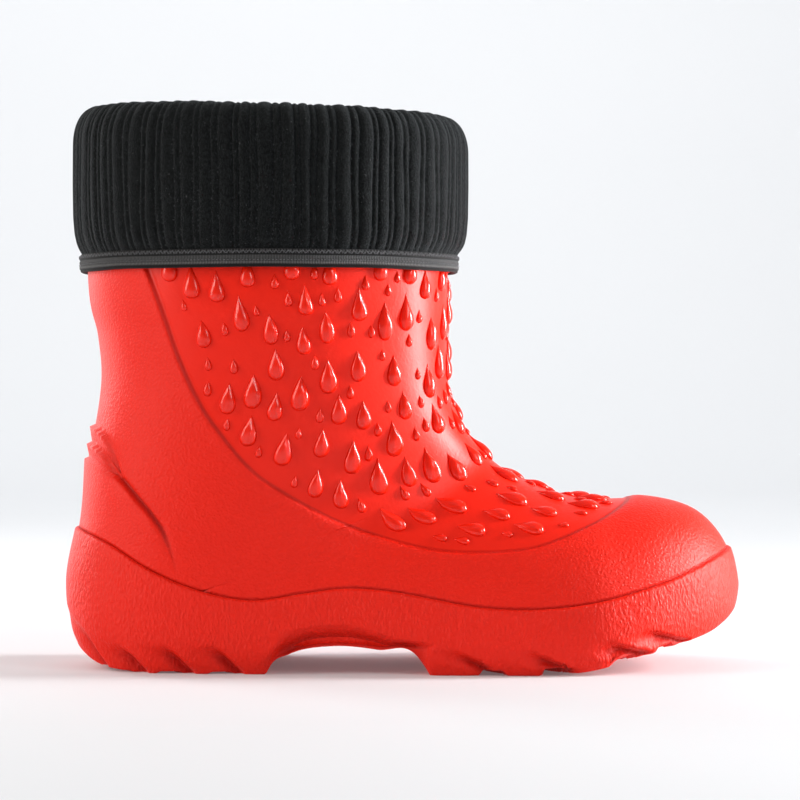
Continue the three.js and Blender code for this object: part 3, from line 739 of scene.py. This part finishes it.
def half_width(x, z, inset):
    """Half width of the boot's outside, inset by a distance, at side-view places, and its sideways shift."""
    low, high = np.zeros_like(x), np.full_like(x, LAST - 0.004)
    inset = np.broadcast_to(inset, x.shape)
    for _ in range(24):
        t = (low + high) / 2
        front, back = cut_at(t, inset)[:2]
        along, to = back - front, np.stack([x, z], -1) - front
        past = to[..., 0] * along[..., 1] - to[..., 1] * along[..., 0] > 0
        low, high = np.where(past, low, t), np.where(past, t, high)
    front, back, half, row = cut_at(t, inset)
    along, to = back - front, np.stack([x, z], -1) - front
    u = np.clip((along * to).sum(-1) / ((along**2).sum(-1) + 1e-9), 0, 1)
    widest = row[..., WIDEST]
    share = np.where(u <= widest, 1 - u / widest, 1 - (1 - u) / (1 - widest))
    power = np.where(u <= widest, row[..., ROUND_FRONT], row[..., ROUND_BACK])
    return half * (1 - np.clip(share, 0, 1) ** power) ** (1 / power), row[..., SHIFT]


GROOVE_WAVE = 36.0
GROOVE_SWING = 3.0
# each groove's place, its depth in the middle of the tread and its depth at the side
HEEL_GROOVES = ((-86, 3.6, 0.5), (-72.5, 4, 0.6), (-57.5, 4, 0.6))
GROOVES = HEEL_GROOVES + ((24, 4, 1.7), (42.5, 4, 2.0), (63.5, 3, 1.5), (78, 2.6, 1.3))
# place and depth of each fine cut
SIPES = ((-79, 0.9), (-65, 0.9), (-50.5, 0.9), (15.5, 0.9), (33.5, 0.9), (53, 0.9), (71, 0.8), (87, 0.7))
arch_line = curve(
    [(-46, -12), (-43.5, -4), (-40.5, 2.6), (-35, 6), (-22, 8.6), (-8, 7.6), (4.5, 5), (9.5, -4), (12, -12)]
)
HEEL_SCOOPS = (-90.5, -78, -63.5, -48.5)
BALL_SCOOPS = (30, 52.5, 75, 87.5)


def underside(x, y, inward):
    """Height of the tread: its lugs, grooves, fine cuts and arch. inward is the distance in from the side."""
    swing = GROOVE_SWING * np.cos(2 * np.pi * y / GROOVE_WAVE)
    inner = smooth(0.5, 6, inward)
    rise = np.zeros_like(x)
    for place, middle, edge in GROOVES:
        off = np.abs(x - place * FOOT_SCALE - swing)
        wide = 3.4 + 1.2 * (1 - inner)
        rise = np.maximum(rise, (edge + (middle - edge) * inner) * smooth(wide, wide - 1.7, off))
    for place, deep in SIPES:
        off = np.abs(x - place * FOOT_SCALE - swing)
        rise = np.maximum(rise, deep * smooth(0.9, 0.3, off) * smooth(3, 6, inward))
    rim_channel = 0.8 * np.exp(-(((inward - 7.5) / 0.7) ** 2)) * smooth(94, 84, np.abs(x))
    return np.maximum(ground_line(x) + np.maximum(rise, rim_channel), arch_line(x))


def wall_scoop(x, z, low):
    """How far the side of the sole is hollowed at (x, z), where its lower edge lies at low."""
    up = z - ground_line(x)
    deep = np.zeros_like(x)
    for places, slope, top, most in ((HEEL_SCOOPS, 1.0, 9.4, 4.2), (BALL_SCOOPS, 1.8, 8.6, 4.0)):
        for place in places:
            back = place * FOOT_SCALE - slope * up - x
            hollow = np.clip(1 - back / 11.5, 0, 1) ** 1.5 * smooth(-1.3, 1.3, back)
            deep = np.maximum(deep, most * hollow * smooth(top, top - 5.0, up))
    above = z - low
    tall = np.interp(x, [-44, -32, -18, 7], [6, 9, 7.5, 1.6])
    arch = smooth(tall, 0.28 * tall, above) * (1 - 0.4 * smooth(1.2, 0.1, above))
    arch = 3.6 * arch * smooth(-45, -35, x) * smooth(9.5, 5, x)
    return np.maximum(deep, arch)


SOLE_COLUMNS = 800
SPINE_SHARE = 0.93  # length of the middle line that the tread's columns run to, as a share of the outline's
SEAT_FLOOR = FLOOR_TUCK - 0.3
LIP = 1.25


def build_sole():
    turn = np.linspace(0, 2 * np.pi, SOLE_COLUMNS, endpoint=False)
    side = np.where(turn <= np.pi, -1.0, 1.0)

    def ring(inset, plan_height, height_of=None):
        """A closed ring at an inset, and its sideways shift. Its columns spread over x by a plain height, and
        its places have their own."""
        z = np.full(SOLE_COLUMNS, 20.0)
        for _ in range(14):
            back, front = reach(inset, z)
            x = (front + back) / 2 + (front - back) / 2 * np.cos(turn)
            z = plan_height(x)
        for _ in range(3):
            width, shift = half_width(x, z, inset)
            y = shift + side * width
            z = height_of(x, y) if height_of else plan_height(x)
        return np.stack([x, y, z], -1), shift

    def edge(x, y):
        at_side = np.zeros_like(x)
        low = underside(x, y, at_side)
        return underside(x, y - side * wall_scoop(x, low, low), at_side)

    def seat(x, share):
        floor = SEAT_FLOOR + floor_rise(x)
        return floor + share * (band_line(x) - 3.4 - floor)

    rings = [ring(TUCK - 0.3, lambda x: seat(x, share))[0] for share in (0.0, 0.25, 0.5, 0.75)]
    for inset, down in ((TUCK - 0.3, 3.3), (1.4, 2.3), (0.4, 1.4), (0.05, 0.6)):
        rings.append(ring(inset, lambda x: band_line(x) - down)[0])
    for angle in np.linspace(0, math.pi / 2, 6):
        inset = 0.05 - (0.05 + BAND_PROUD) * math.sin(angle)
        rings.append(ring(inset, lambda x: band_line(x) - LIP * (1 - math.cos(angle)))[0])
    wall = []
    for share in np.linspace(0, 1, 46)[1:] ** 0.9:
        top = 1 - share
        wall.append(ring(-BAND_PROUD, lambda x: (band_line(x) - LIP) * top + (ground_line(x) + 0.6) * share,
                         lambda x, y: (band_line(x) - LIP) * top + (edge(x, y) + 0.6) * share)[0])
    wall = np.array(wall)
    plain, shift = ring(-BAND_PROUD, lambda x: ground_line(x) + 0.3)
    spine = np.stack([plain[:, 0] * SPINE_SHARE, shift], -1)
    low = np.broadcast_to(wall[-1][:, 2] - 0.6, wall.shape[:2])
    deep = wall_scoop(wall[..., 0], wall[..., 2], low)
    wall[..., :2] += unit(spine - wall[..., :2]) * deep[..., None]
    above = len(rings)
    rings += list(wall)
    rim = wall[-1]
    way = spine - rim[:, :2]
    span = np.linalg.norm(way, axis=1) + 1e-6
    tread = []
    for inward in np.concatenate([[0.25, 0.7], np.linspace(0, 1, 52)[1:] * 60]):
        share = inward / span if inward < 1 else 0.7 / span + (1 - 0.7 / span) * inward / 60
        share = np.clip(share, 0, 1)
        place = rim[:, :2] + way * share[:, None]
        z = underside(place[:, 0], place[:, 1], share * span)
        tread.append(np.column_stack([place, z + 0.18 * (inward < 0.5)]))
    first = rings[0]
    middle = np.stack([first[:, 0], shift, first[:, 2]], -1)
    bottom = [middle + (first - middle) * share for share in (0, 0.2, 0.4, 0.6, 0.8)]
    rings = np.array(bottom + rings + tread)
    crease = np.zeros(rings.shape[:2])
    start = len(bottom) + above
    # Painted shade: the sole's wall darkens in its scoops, as if in their shadow, and dips there as a bump.
    crease[start : start + len(wall)] = 0.75 * smooth(1.0, 4.2, deep)
    skin = {"grain": np.ones(rings.shape[:2]), "crease": crease}
    make_rings("sole_foam", rings, FOAM_BAND, "boot", "red_foam", "sole_unit", **skin)


# ------------------------------------------------------------------ pieces swept round the shaft
def even_angles(columns):
    """Angles of columns spread evenly round the rim."""
    a = np.linspace(0, 2 * np.pi, 4001)
    length = distances(body_point(np.zeros_like(a), a))
    return np.interp(np.arange(columns) / columns * length[-1], length, a)


def level_ring(z, a, inset):
    """Points of the boot's outside at height z and angles a, inset by a distance."""
    low, high = np.zeros_like(a), np.full_like(a, 8.0)
    if z < STATIONS[1, 1]:  # above it the shaft is the same all the way up
        for _ in range(26):
            t = (low + high) / 2
            under = body_point(t, a, inset)[..., 2] < z
            low, high = np.where(under, low, t), np.where(under, t, high)
    ring = body_point(low, a, inset)
    ring[..., 2] = z
    return ring


def profile_points(corners, spacing):
    """A profile of [outset, height] corners, with more points put in."""
    length = distances(corners)
    count = max(int(round(length[-1] / spacing)), 2)
    return along_path(np.linspace(0, length[-1], count + 1), length, corners)


def swept(profile, angles):
    """Rings round the shaft, one for each [outset, height] of a profile. Each may be a number or an array."""
    rings = []
    for outset, z in profile:
        ring = body_point(np.zeros(len(angles)), angles, -outset)
        ring[:, 2] = z
        rings.append(ring)
    return np.array(rings)


def quarter_round(center, across, up, start, end, count):
    """Points of an elliptic arc, angles in degrees from outwards, turning upwards."""
    turn = np.radians(np.linspace(start, end, count))
    return [[center[0] + across * math.cos(q), center[1] + up * math.sin(q)] for q in turn]


RIB_PAIRS = 58  # a wide rib and a narrow one each
WIDE_RIB = 0.65  # the wide rib's share of a pair
CUFF_COLUMNS = RIB_PAIRS * 18
FOLD_TOP = CUFF[1][2]
HEM = BINDING[0][2]
CUFF_SEED = 5


def waves(chance, angles, orders, size):
    """A closed wavy line: sines of a few orders with random sizes and starts."""
    total = np.zeros_like(angles)
    for order in orders:
        total += chance.normal() * np.sin(order * angles + chance.uniform(0, 2 * np.pi)) / math.sqrt(order)
    return size * total


def rib_height(place):
    """Height of the ribs, from 0 in a valley to 1 on a wide rib, at places counted in pairs of ribs."""
    place = np.mod(place, 1)
    wide = np.sin(np.pi * np.clip(place / WIDE_RIB, 0, 1)) ** 0.5
    narrow = 0.72 * np.sin(np.pi * np.clip((place - WIDE_RIB) / (1 - WIDE_RIB), 0, 1)) ** 0.6
    return np.where(place < WIDE_RIB, wide, narrow)


def build_cuff():
    angles = even_angles(CUFF_COLUMNS)
    chance = np.random.default_rng(CUFF_SEED)
    around = np.arange(CUFF_COLUMNS) / CUFF_COLUMNS * 2 * np.pi
    pile = [[-8.2, 155.5], [-9.1, 157.5], [-9.5, 161]]
    pile += quarter_round((-5.4, FOLD_TOP - 6.6), 4.1, 6, 180, 90, 8)
    pile += quarter_round((-1.4, FOLD_TOP - 11.6), 6.6, 11, 90, 0, 14)
    pile += [[5.25, 150], [5.1, 140], [4.7, 135], [4.0, 131.8], [3.0, 129.8], [2.2, 128.6], [1.9, 127.6]]
    pile = profile_points(pile + [[1.9, 125.4]], 1.25)
    back = [[1.25, 125.2], [1.2, 128], [0.9, 131], [0.75, 150], [0.75, 165], [0.2, 166.6], [-5, 166.7]]
    back = profile_points(back + [[-5.65, 165.8], [-5.65, 155.5]], 3)
    rows = len(pile)
    way = np.gradient(pile, axis=0)
    out = unit(np.stack([-way[:, 1], way[:, 0]], -1), 0)
    number = around / (2 * np.pi) * RIB_PAIRS
    knots = np.arange(RIB_PAIRS)
    chances = chance.normal(size=RIB_PAIRS), chance.normal(size=RIB_PAIRS), chance.uniform(0, 6.3, RIB_PAIRS)
    drift, plump, phase = (np.interp(number, knots, values, period=RIB_PAIRS) for values in chances)
    shape_wave = waves(chance, around, (2, 3, 5, 8, 13), 0.16)
    top_wave = waves(chance, around, (3, 4, 7, 11, 17), 0.14)
    forward = (np.cos(angles) + 1) / 2
    rings, ribs = [], []
    for k, (outset, z) in enumerate(pile):
        rib = rib_height(number + 0.05 * np.sin(z / 7.5 + phase) + 0.1 * drift)
        held = smooth(126, 132.5, z) if k > (rows - 1) / 2 else smooth(155, 158, z)
        proud = (0.85 + 0.12 * plump) * (rib - 0.8) * (0.25 + 0.75 * held) + shape_wave * held
        full = (forward - 0.55) * 0.9 * held * (out[k, 0] > 0)
        lift = out[k, 1] * proud + smooth(140, 168, z) * (1.6 + top_wave - 2.6 * forward)
        rings.append((outset + out[k, 0] * proud + full, z + lift))
        ribs.append(rib * (0.3 + 0.7 * held))
    for outset, z in back:
        rings.append((outset, z - 0.23 * smooth(140, 168, z) * forward))
        ribs.append(np.full(CUFF_COLUMNS, 0.5))
    rings = swept(rings, angles)
    cuff = make_rings("ribbed_cuff", rings, VELOUR, "cuff", "cuff_velour", "cuff", True, rib=ribs)


def build_binding():
    angles = even_angles(560)
    z0, z1 = HEM, BINDING[1][2]
    profile = [[2.3, z1 - 0.1], [2.55, z1]]
    for share in np.linspace(0, 1, 22):
        ridge = abs(math.sin(math.pi * 3 * share)) ** 0.7
        profile.append([2.62 + 0.3 * ridge, z1 - 0.35 - share * (z1 - z0 - 1.2)])
    profile += [[2.5, z0 + 0.3], [2.0, z0 + 0.05], [1.4, z0], [0.8, z0 + 0.1], [0.48, z0 + 0.6]]
    profile += [[0.42, z1 - 0.4], [0.55, z1], [0.85, z1 - 0.2], [0.95, z0 + 1.2], [1.2, z0 + 0.7]]
    profile += [[2.0, z0 + 0.7], [2.25, z0 + 1.2]]
    wave = waves(np.random.default_rng(CUFF_SEED + 3), angles, (3, 5, 9, 14), 0.07)
    rings = swept([(outset, z + wave) for outset, z in profile], angles)
    down = np.repeat([z1 - z for _, z in profile], len(angles))
    tape = make_rings("hem_tape", rings, TAPE, "cuff", "hem_tape", "hem_binding", True, down=down)
    low, high = ELASTIC[0][2], ELASTIC[1][2]
    rings = swept(profile_points([[1.15, low], [2.0, low], [2.0, high], [1.15, high]], 0.4), even_angles(240))
    make_rings("elastic_strip", rings, ELASTIC_WEAVE, "cuff", "elastic", "hem_elastic", True)


# place along a stitch, thickness and rise of each of its rings, as shares
BEAD_RINGS = ((0, 0.35, -0.3), (0.15, 0.8, 0.35), (0.5, 1, 0.6), (0.85, 0.8, 0.35), (1, 0.35, -0.3))


def bead(start, end, thick, out):
    """Points and faces of one stitch: a little spindle of thread from start to end, arched outwards."""
    way = end - start
    side = unit(np.cross(out, way))
    points = []
    for share, size, arch in BEAD_RINGS:
        center = start + way * share + out * arch * thick
        for k in range(6):
            q = math.pi * k / 3
            points.append(center + thick * size * (math.cos(q) * side + 0.8 * math.sin(q) * out))
    faces = grid_faces(5, 6) + [[5, 4, 3, 2, 1, 0], [24, 25, 26, 27, 28, 29]]
    return np.array(points), faces


def stitch_row(name, places, outs, thick, node):
    """One piece of stitches, each from the first to the second of a pair of places."""
    points, faces, start = [], [], 0
    for (a, b), out in zip(places, outs):
        stitch, sides = bead(a, b, thick, out)
        points.append(stitch)
        faces += [[start + corner for corner in face] for face in sides]
        start += len(stitch)
    make_piece(name, np.vstack(points), faces, THREAD, "cuff", "thread", [node])


def build_hem_stitches():
    z1 = BINDING[1][2]
    rows = (("coverstitch", 340, z1 - 0.85, 0.5, 2.98, 0.11, "hem_stitch_upper"),
            ("topstitch", 300, z1 - 3.3, 0.0, 2.95, 0.1, "hem_stitch_lower"))
    for name, count, z, swing, outset, thick, node in rows:
        ring, further = swept([(outset, z), (outset + 1, z)], even_angles(count * 2))
        places = []
        for k in range(count):
            a, b = ring[2 * k].copy(), ring[(2 * k + (2 if swing else 1)) % len(ring)].copy()
            a[2] += swing if k % 2 else -swing
            b[2] -= swing if k % 2 else -swing
            places.append((a, b))
        stitch_row(name, places, (further - ring)[::2], thick, node)


# ------------------------------------------------------------------ liner and insole
def build_leg():
    columns, ribs = 480, 150
    angles = even_angles(columns)
    low, high = LEG[0][2], LEG[1][2]
    heights = np.linspace(low, high, 54)
    knit = 0.16 * np.abs(np.cos(np.pi * np.arange(columns) / columns * ribs)) ** 0.7
    outer = [level_ring(z, angles, LINER_INSET + 0.1) for z in heights]
    inner = [level_ring(z, angles, LINER_INSET + LEG_WALL - 0.2 + knit) for z in heights[::-1]]
    leg = make_rings("liner_leg_knit", outer + inner, LEG_KNIT, None, "liner_pile", "liner_leg", True)
    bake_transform(leg)


PANEL_LOW = FELT[1][2] + 2.5  # above the sole seam, at the heel
PANEL_HIGH = ANKLE_SEAM[0][2] - 0.3


def side_arcs(t, inset, edge, columns):
    """Arcs of the liner's side at t: off the middle by edge, under the ankle seam and over the sole seam."""
    a = np.linspace(0, np.pi, 700)
    grid_t, grid_a = np.meshgrid(t, a, indexing="ij")
    points = body_point(grid_t, grid_a, inset)
    shift = station(t)[:, SHIFT]
    low = PANEL_LOW + floor_rise(points[..., 0])
    inside = (points[..., 2] <= PANEL_HIGH) & (points[..., 2] >= low)
    inside &= shift[:, None] - points[..., 1] >= edge
    arcs = []
    for k in range(len(t)):
        found = np.flatnonzero(inside[k])
        if len(found) < 4:
            continue
        path = points[k, found[0] : found[-1] + 1]
        arcs.append(resample(path, np.ones(len(path)), columns))
    return np.array(arcs)


def build_side_panels():
    t = np.linspace(3.3, LAST - 0.2, 130)
    grids = [side_arcs(t, inset, 1.15, 70) for inset in (LINER_INSET + 0.05, LINER_INSET + LINER_WALL)]
    count = min(len(grid) for grid in grids)
    mirror = 2 * station(t)[-count:, SHIFT][:, None]
    for side, node in ((1, "liner_lateral_panel"), (-1, "liner_medial_panel")):
        pair = []
        for grid in grids:
            turned = grid[-count:].copy()
            if side < 0:
                turned[..., 1] = mirror - turned[..., 1]
            pair.append(turned)
        points, faces = thick_patch(*pair)
        name = node.replace("_panel", "_side")
        panel = make_piece(name, points, faces, LINER, "boot", "liner_pile", [node])


def slab_outline(inset, height, columns=260):
    """Closed outline of the boot's inside at a floor height, and the middle line under each of its points."""
    turn = np.linspace(0, 2 * np.pi, columns, endpoint=False)
    z = np.full(columns, float(height))
    for _ in range(10):
        back, front = reach(inset, z)
        x = (front + back) / 2 + (front - back) / 2 * np.cos(turn)
        z = height + floor_rise(x)
    width, shift = half_width(x, z, inset)
    y = shift + np.where(turn <= np.pi, -1.0, 1.0) * width
    return np.stack([x, y, z], -1), np.stack([x, shift, z], -1)


def build_slab(name, node, inset, low, height, material, slot, crown, rounding):
    """A soft layer on the boot's floor, with rounded edges, whose top dips by crown in the middle."""
    rise = np.array([0, 0, height])
    lower, middle = slab_outline(inset, low)
    way = unit(middle - lower, 1e-6)
    rings = [middle + (lower - middle) * share * 0.97 for share in np.linspace(0, 1, 5)]
    for q in np.radians(np.linspace(-90, 90, 9)):
        rings.append(lower + way * rounding * (1 - math.cos(q)) + rise * (0.5 + 0.5 * math.sin(q)))
    across = rings[-1] - middle - rise
    span = np.linalg.norm(across, axis=1)
    for share in np.linspace(1, 0, 18)[1:]:
        ring = middle + rise + across * share
        ring[:, 2] -= crown * (1 - share**2) * smooth(0, 20, span)
        rings.append(ring)
    return make_rings(name, rings, material, "boot", slot, node)


def build_floor_layers():
    cloth = FELT_CLOTH, "felt"
    low = FELT[0][2]
    felt = build_slab("felt_sole", "liner_felt_sole", LINER_INSET, low, FELT_THICK, *cloth, 0, 0.8)
    inset = LINER_INSET + LINER_WALL + 0.3
    foam = build_slab("insole_pad", "insole_foam", inset, FOAM[0][2], 3, FOAM_SHEET, "insole_foam", 0, 0.8)
    cover = build_slab("insole_top", "insole_cover", inset, COVER[0][2], 1.5, *cloth, 0.25, 0.7)


SEAM_PITCH = 1.3  # from one turn of the thread to the next
SEAM_HALF_WIDTH = 0.75


def seam_tube(name, node, path, normals, half_deep, closed, body="boot"):
    """An overlocked seam along a path: a flat tube wrapped in thread, whose turns stand up from it."""
    if closed:
        ends, more = np.vstack([path, path[:1]]), np.vstack([normals, normals[:1]])
    else:
        ends, more = path, normals
    steps = int(distances(path)[-1] / SEAM_PITCH * 4)
    place = distances(ends)
    goal = np.linspace(0, place[-1], steps + 1)[: steps if closed else steps + 1]
    center = along_path(goal, place, ends)
    out = unit(along_path(goal, place, more), 0)
    along = np.roll(center, -1, 0) - np.roll(center, 1, 0) if closed else np.gradient(center, axis=0)
    side = unit(np.cross(out, along), 0)
    turn = np.linspace(0, 2 * np.pi, 14, endpoint=False)
    wrap = 1 + 0.1 * np.cos(goal[:, None] / SEAM_PITCH * 2 * np.pi + turn)
    c, s = (np.abs(f(turn)) ** 0.75 * np.sign(f(turn)) for f in (np.cos, np.sin))
    rings = center[:, None] + half_deep * (wrap * c)[..., None] * out[:, None]
    rings = rings + SEAM_HALF_WIDTH * (wrap * s)[..., None] * side[:, None]
    rows, columns = rings.shape[:2]
    faces = grid_faces(rows, columns, closed_rows=closed)
    if not closed:
        faces += [list(range(columns))[::-1], [(rows - 1) * columns + c for c in range(columns)]]
    make_piece(name, rings.reshape(-1, 3), faces, THREAD_DARK, body, "thread", [node])


def build_seams():
    depth = LINER_WALL / 2
    middle, further = LINER_INSET + depth, LINER_INSET + depth - 2
    angles = even_angles(400)
    z = (ANKLE_SEAM[0][2] + ANKLE_SEAM[1][2]) / 2
    ring, out = (level_ring(z, angles, inset) for inset in (middle, further))
    seam_tube("ankle_seam", "liner_ankle_seam", ring, out - ring, depth * 0.92, True)
    leg_middle = LINER_INSET + LEG_WALL / 2
    z = (CUFF_SEAM[0][2] + CUFF_SEAM[1][2]) / 2
    ring, out = (level_ring(z, angles, inset) for inset in (leg_middle, leg_middle - 2))
    seam_tube("cuff_seam_thread", "cuff_seam", ring, out - ring, 1.1, True, body="cuff")
    height = FELT[0][2] + FELT_THICK + 0.3 + 0.8
    ring, out = (slab_outline(inset, height, 400)[0] for inset in (middle, further))
    seam_tube("sole_seam", "liner_sole_seam", ring, out - ring, depth * 0.92, True)
    t = np.linspace(2.5, LAST - 0.05, 900)
    for name, node, side in (("heel_seam", "liner_heel_seam", 1), ("instep_seam", "liner_instep_seam", 0)):
        paths = []
        for inset in (middle, further):
            line = cut_at(t, np.full(900, inset))[side]
            paths.append(np.column_stack([line[:, 0], station(t)[:, SHIFT], line[:, 1]]))
        path, out = paths
        keep = (path[:, 2] <= PANEL_HIGH) & (path[:, 2] >= PANEL_LOW + floor_rise(path[:, 0]))
        if side == 1:
            keep &= path[:, 0] < -50
        seam_tube(name, node, path[keep], (out - path)[keep], depth * 0.92, False)


# ------------------------------------------------------------------ studio
def area_light(name, place, aim, size, power, color=(1, 1, 1)):
    lamp = bpy.data.lights.new(name, "AREA")
    lamp.shape = "RECTANGLE"
    lamp.size, lamp.size_y = size
    lamp.energy = power
    lamp.color = color
    light = bpy.data.objects.new(name, lamp)
    light.location = place
    light.rotation_euler = (Vector(aim) - Vector(place)).to_track_quat("-Z", "Y").to_euler()
    bpy.context.scene.collection.objects.link(light)


def build_studio():
    floor_far, wall_bend, half = 1.6, 0.8, 3.0
    profile = [(-3.0, 0.0), (floor_far, 0.0)]
    for q in np.linspace(0, math.pi / 2, 14)[1:]:
        profile.append((floor_far + wall_bend * math.sin(q), wall_bend * (1 - math.cos(q))))
    profile.append((floor_far + wall_bend, 3.0))
    points = [(x, y, z) for y, z in profile for x in (-half, half)]
    faces = [[2 * k, 2 * k + 1, 2 * k + 3, 2 * k + 2] for k in range(len(profile) - 1)]
    mesh = bpy.data.meshes.new("backdrop")
    mesh.from_pydata(points, [], faces)
    mesh.shade_smooth()
    backdrop = bpy.data.objects.new("backdrop", mesh)
    bpy.context.scene.collection.objects.link(backdrop)
    n = Nodes("backdrop")
    shade = n.mix(n.noise(6, 2), (0.61, 0.62, 0.635, 1), (0.62, 0.63, 0.645, 1))
    glow = {"Emission_Color": (0.94, 0.96, 1, 1), "Emission_Strength": 0.1}
    mesh.materials.append(n.finish(Base_Color=shade, Roughness=0.7, Specular_IOR_Level=0.1, **glow))
    world = bpy.data.worlds.new("studio")
    world.use_nodes = True
    sky = world.node_tree.nodes["Background"].inputs
    sky["Color"].default_value = (0.93, 0.95, 0.97, 1)
    sky["Strength"].default_value = 0.17
    bpy.context.scene.world = world
    bpy.context.scene.view_settings.view_transform = "Standard"
    area_light("left_box", (-0.85, -0.35, 0.35), (0, 0, 0.08), (0.4, 0.9), 7, (1, 0.95, 0.88))
    area_light("left_rim", (-0.7, 0.55, 0.4), (-0.08, 0, 0.08), (0.3, 0.8), 5)
    area_light("right_strip", (0.85, 0.07, 0.22), (0, 0, 0.1), (0.16, 0.6), 23)
    area_light("right_box", (0.75, -0.7, 0.5), (0.05, 0, 0.05), (0.25, 0.5), 3.5)
    area_light("front_top", (0.0, -1.0, 1.5), (0, 0, 0.05), (1.2, 0.5), 0.7)
    area_light("overhead", (0.0, 0.1, 1.2), (0, 0, 0), (1.4, 1.2), 1.0)
    area_light("wall_light", (0.0, 0.9, 1.6), (0, 2.4, 0.6), (3.0, 0.5), 43)


def build_camera():
    camera = bpy.data.cameras.new("camera")
    camera.lens = 128.8
    camera.sensor_width = 36
    camera.clip_end = 50
    holder = bpy.data.objects.new("camera", camera)
    holder.location = (-0.00126, -0.9, 0.0831)
    holder.rotation_euler = (math.radians(90), 0, 0)
    bpy.context.scene.collection.objects.link(holder)
    bpy.context.scene.camera = holder


build_camera()
build_upper()
build_drops()
build_sole()
build_cuff()
build_binding()
build_hem_stitches()
build_leg()
build_side_panels()
build_floor_layers()
build_seams()
build_studio()
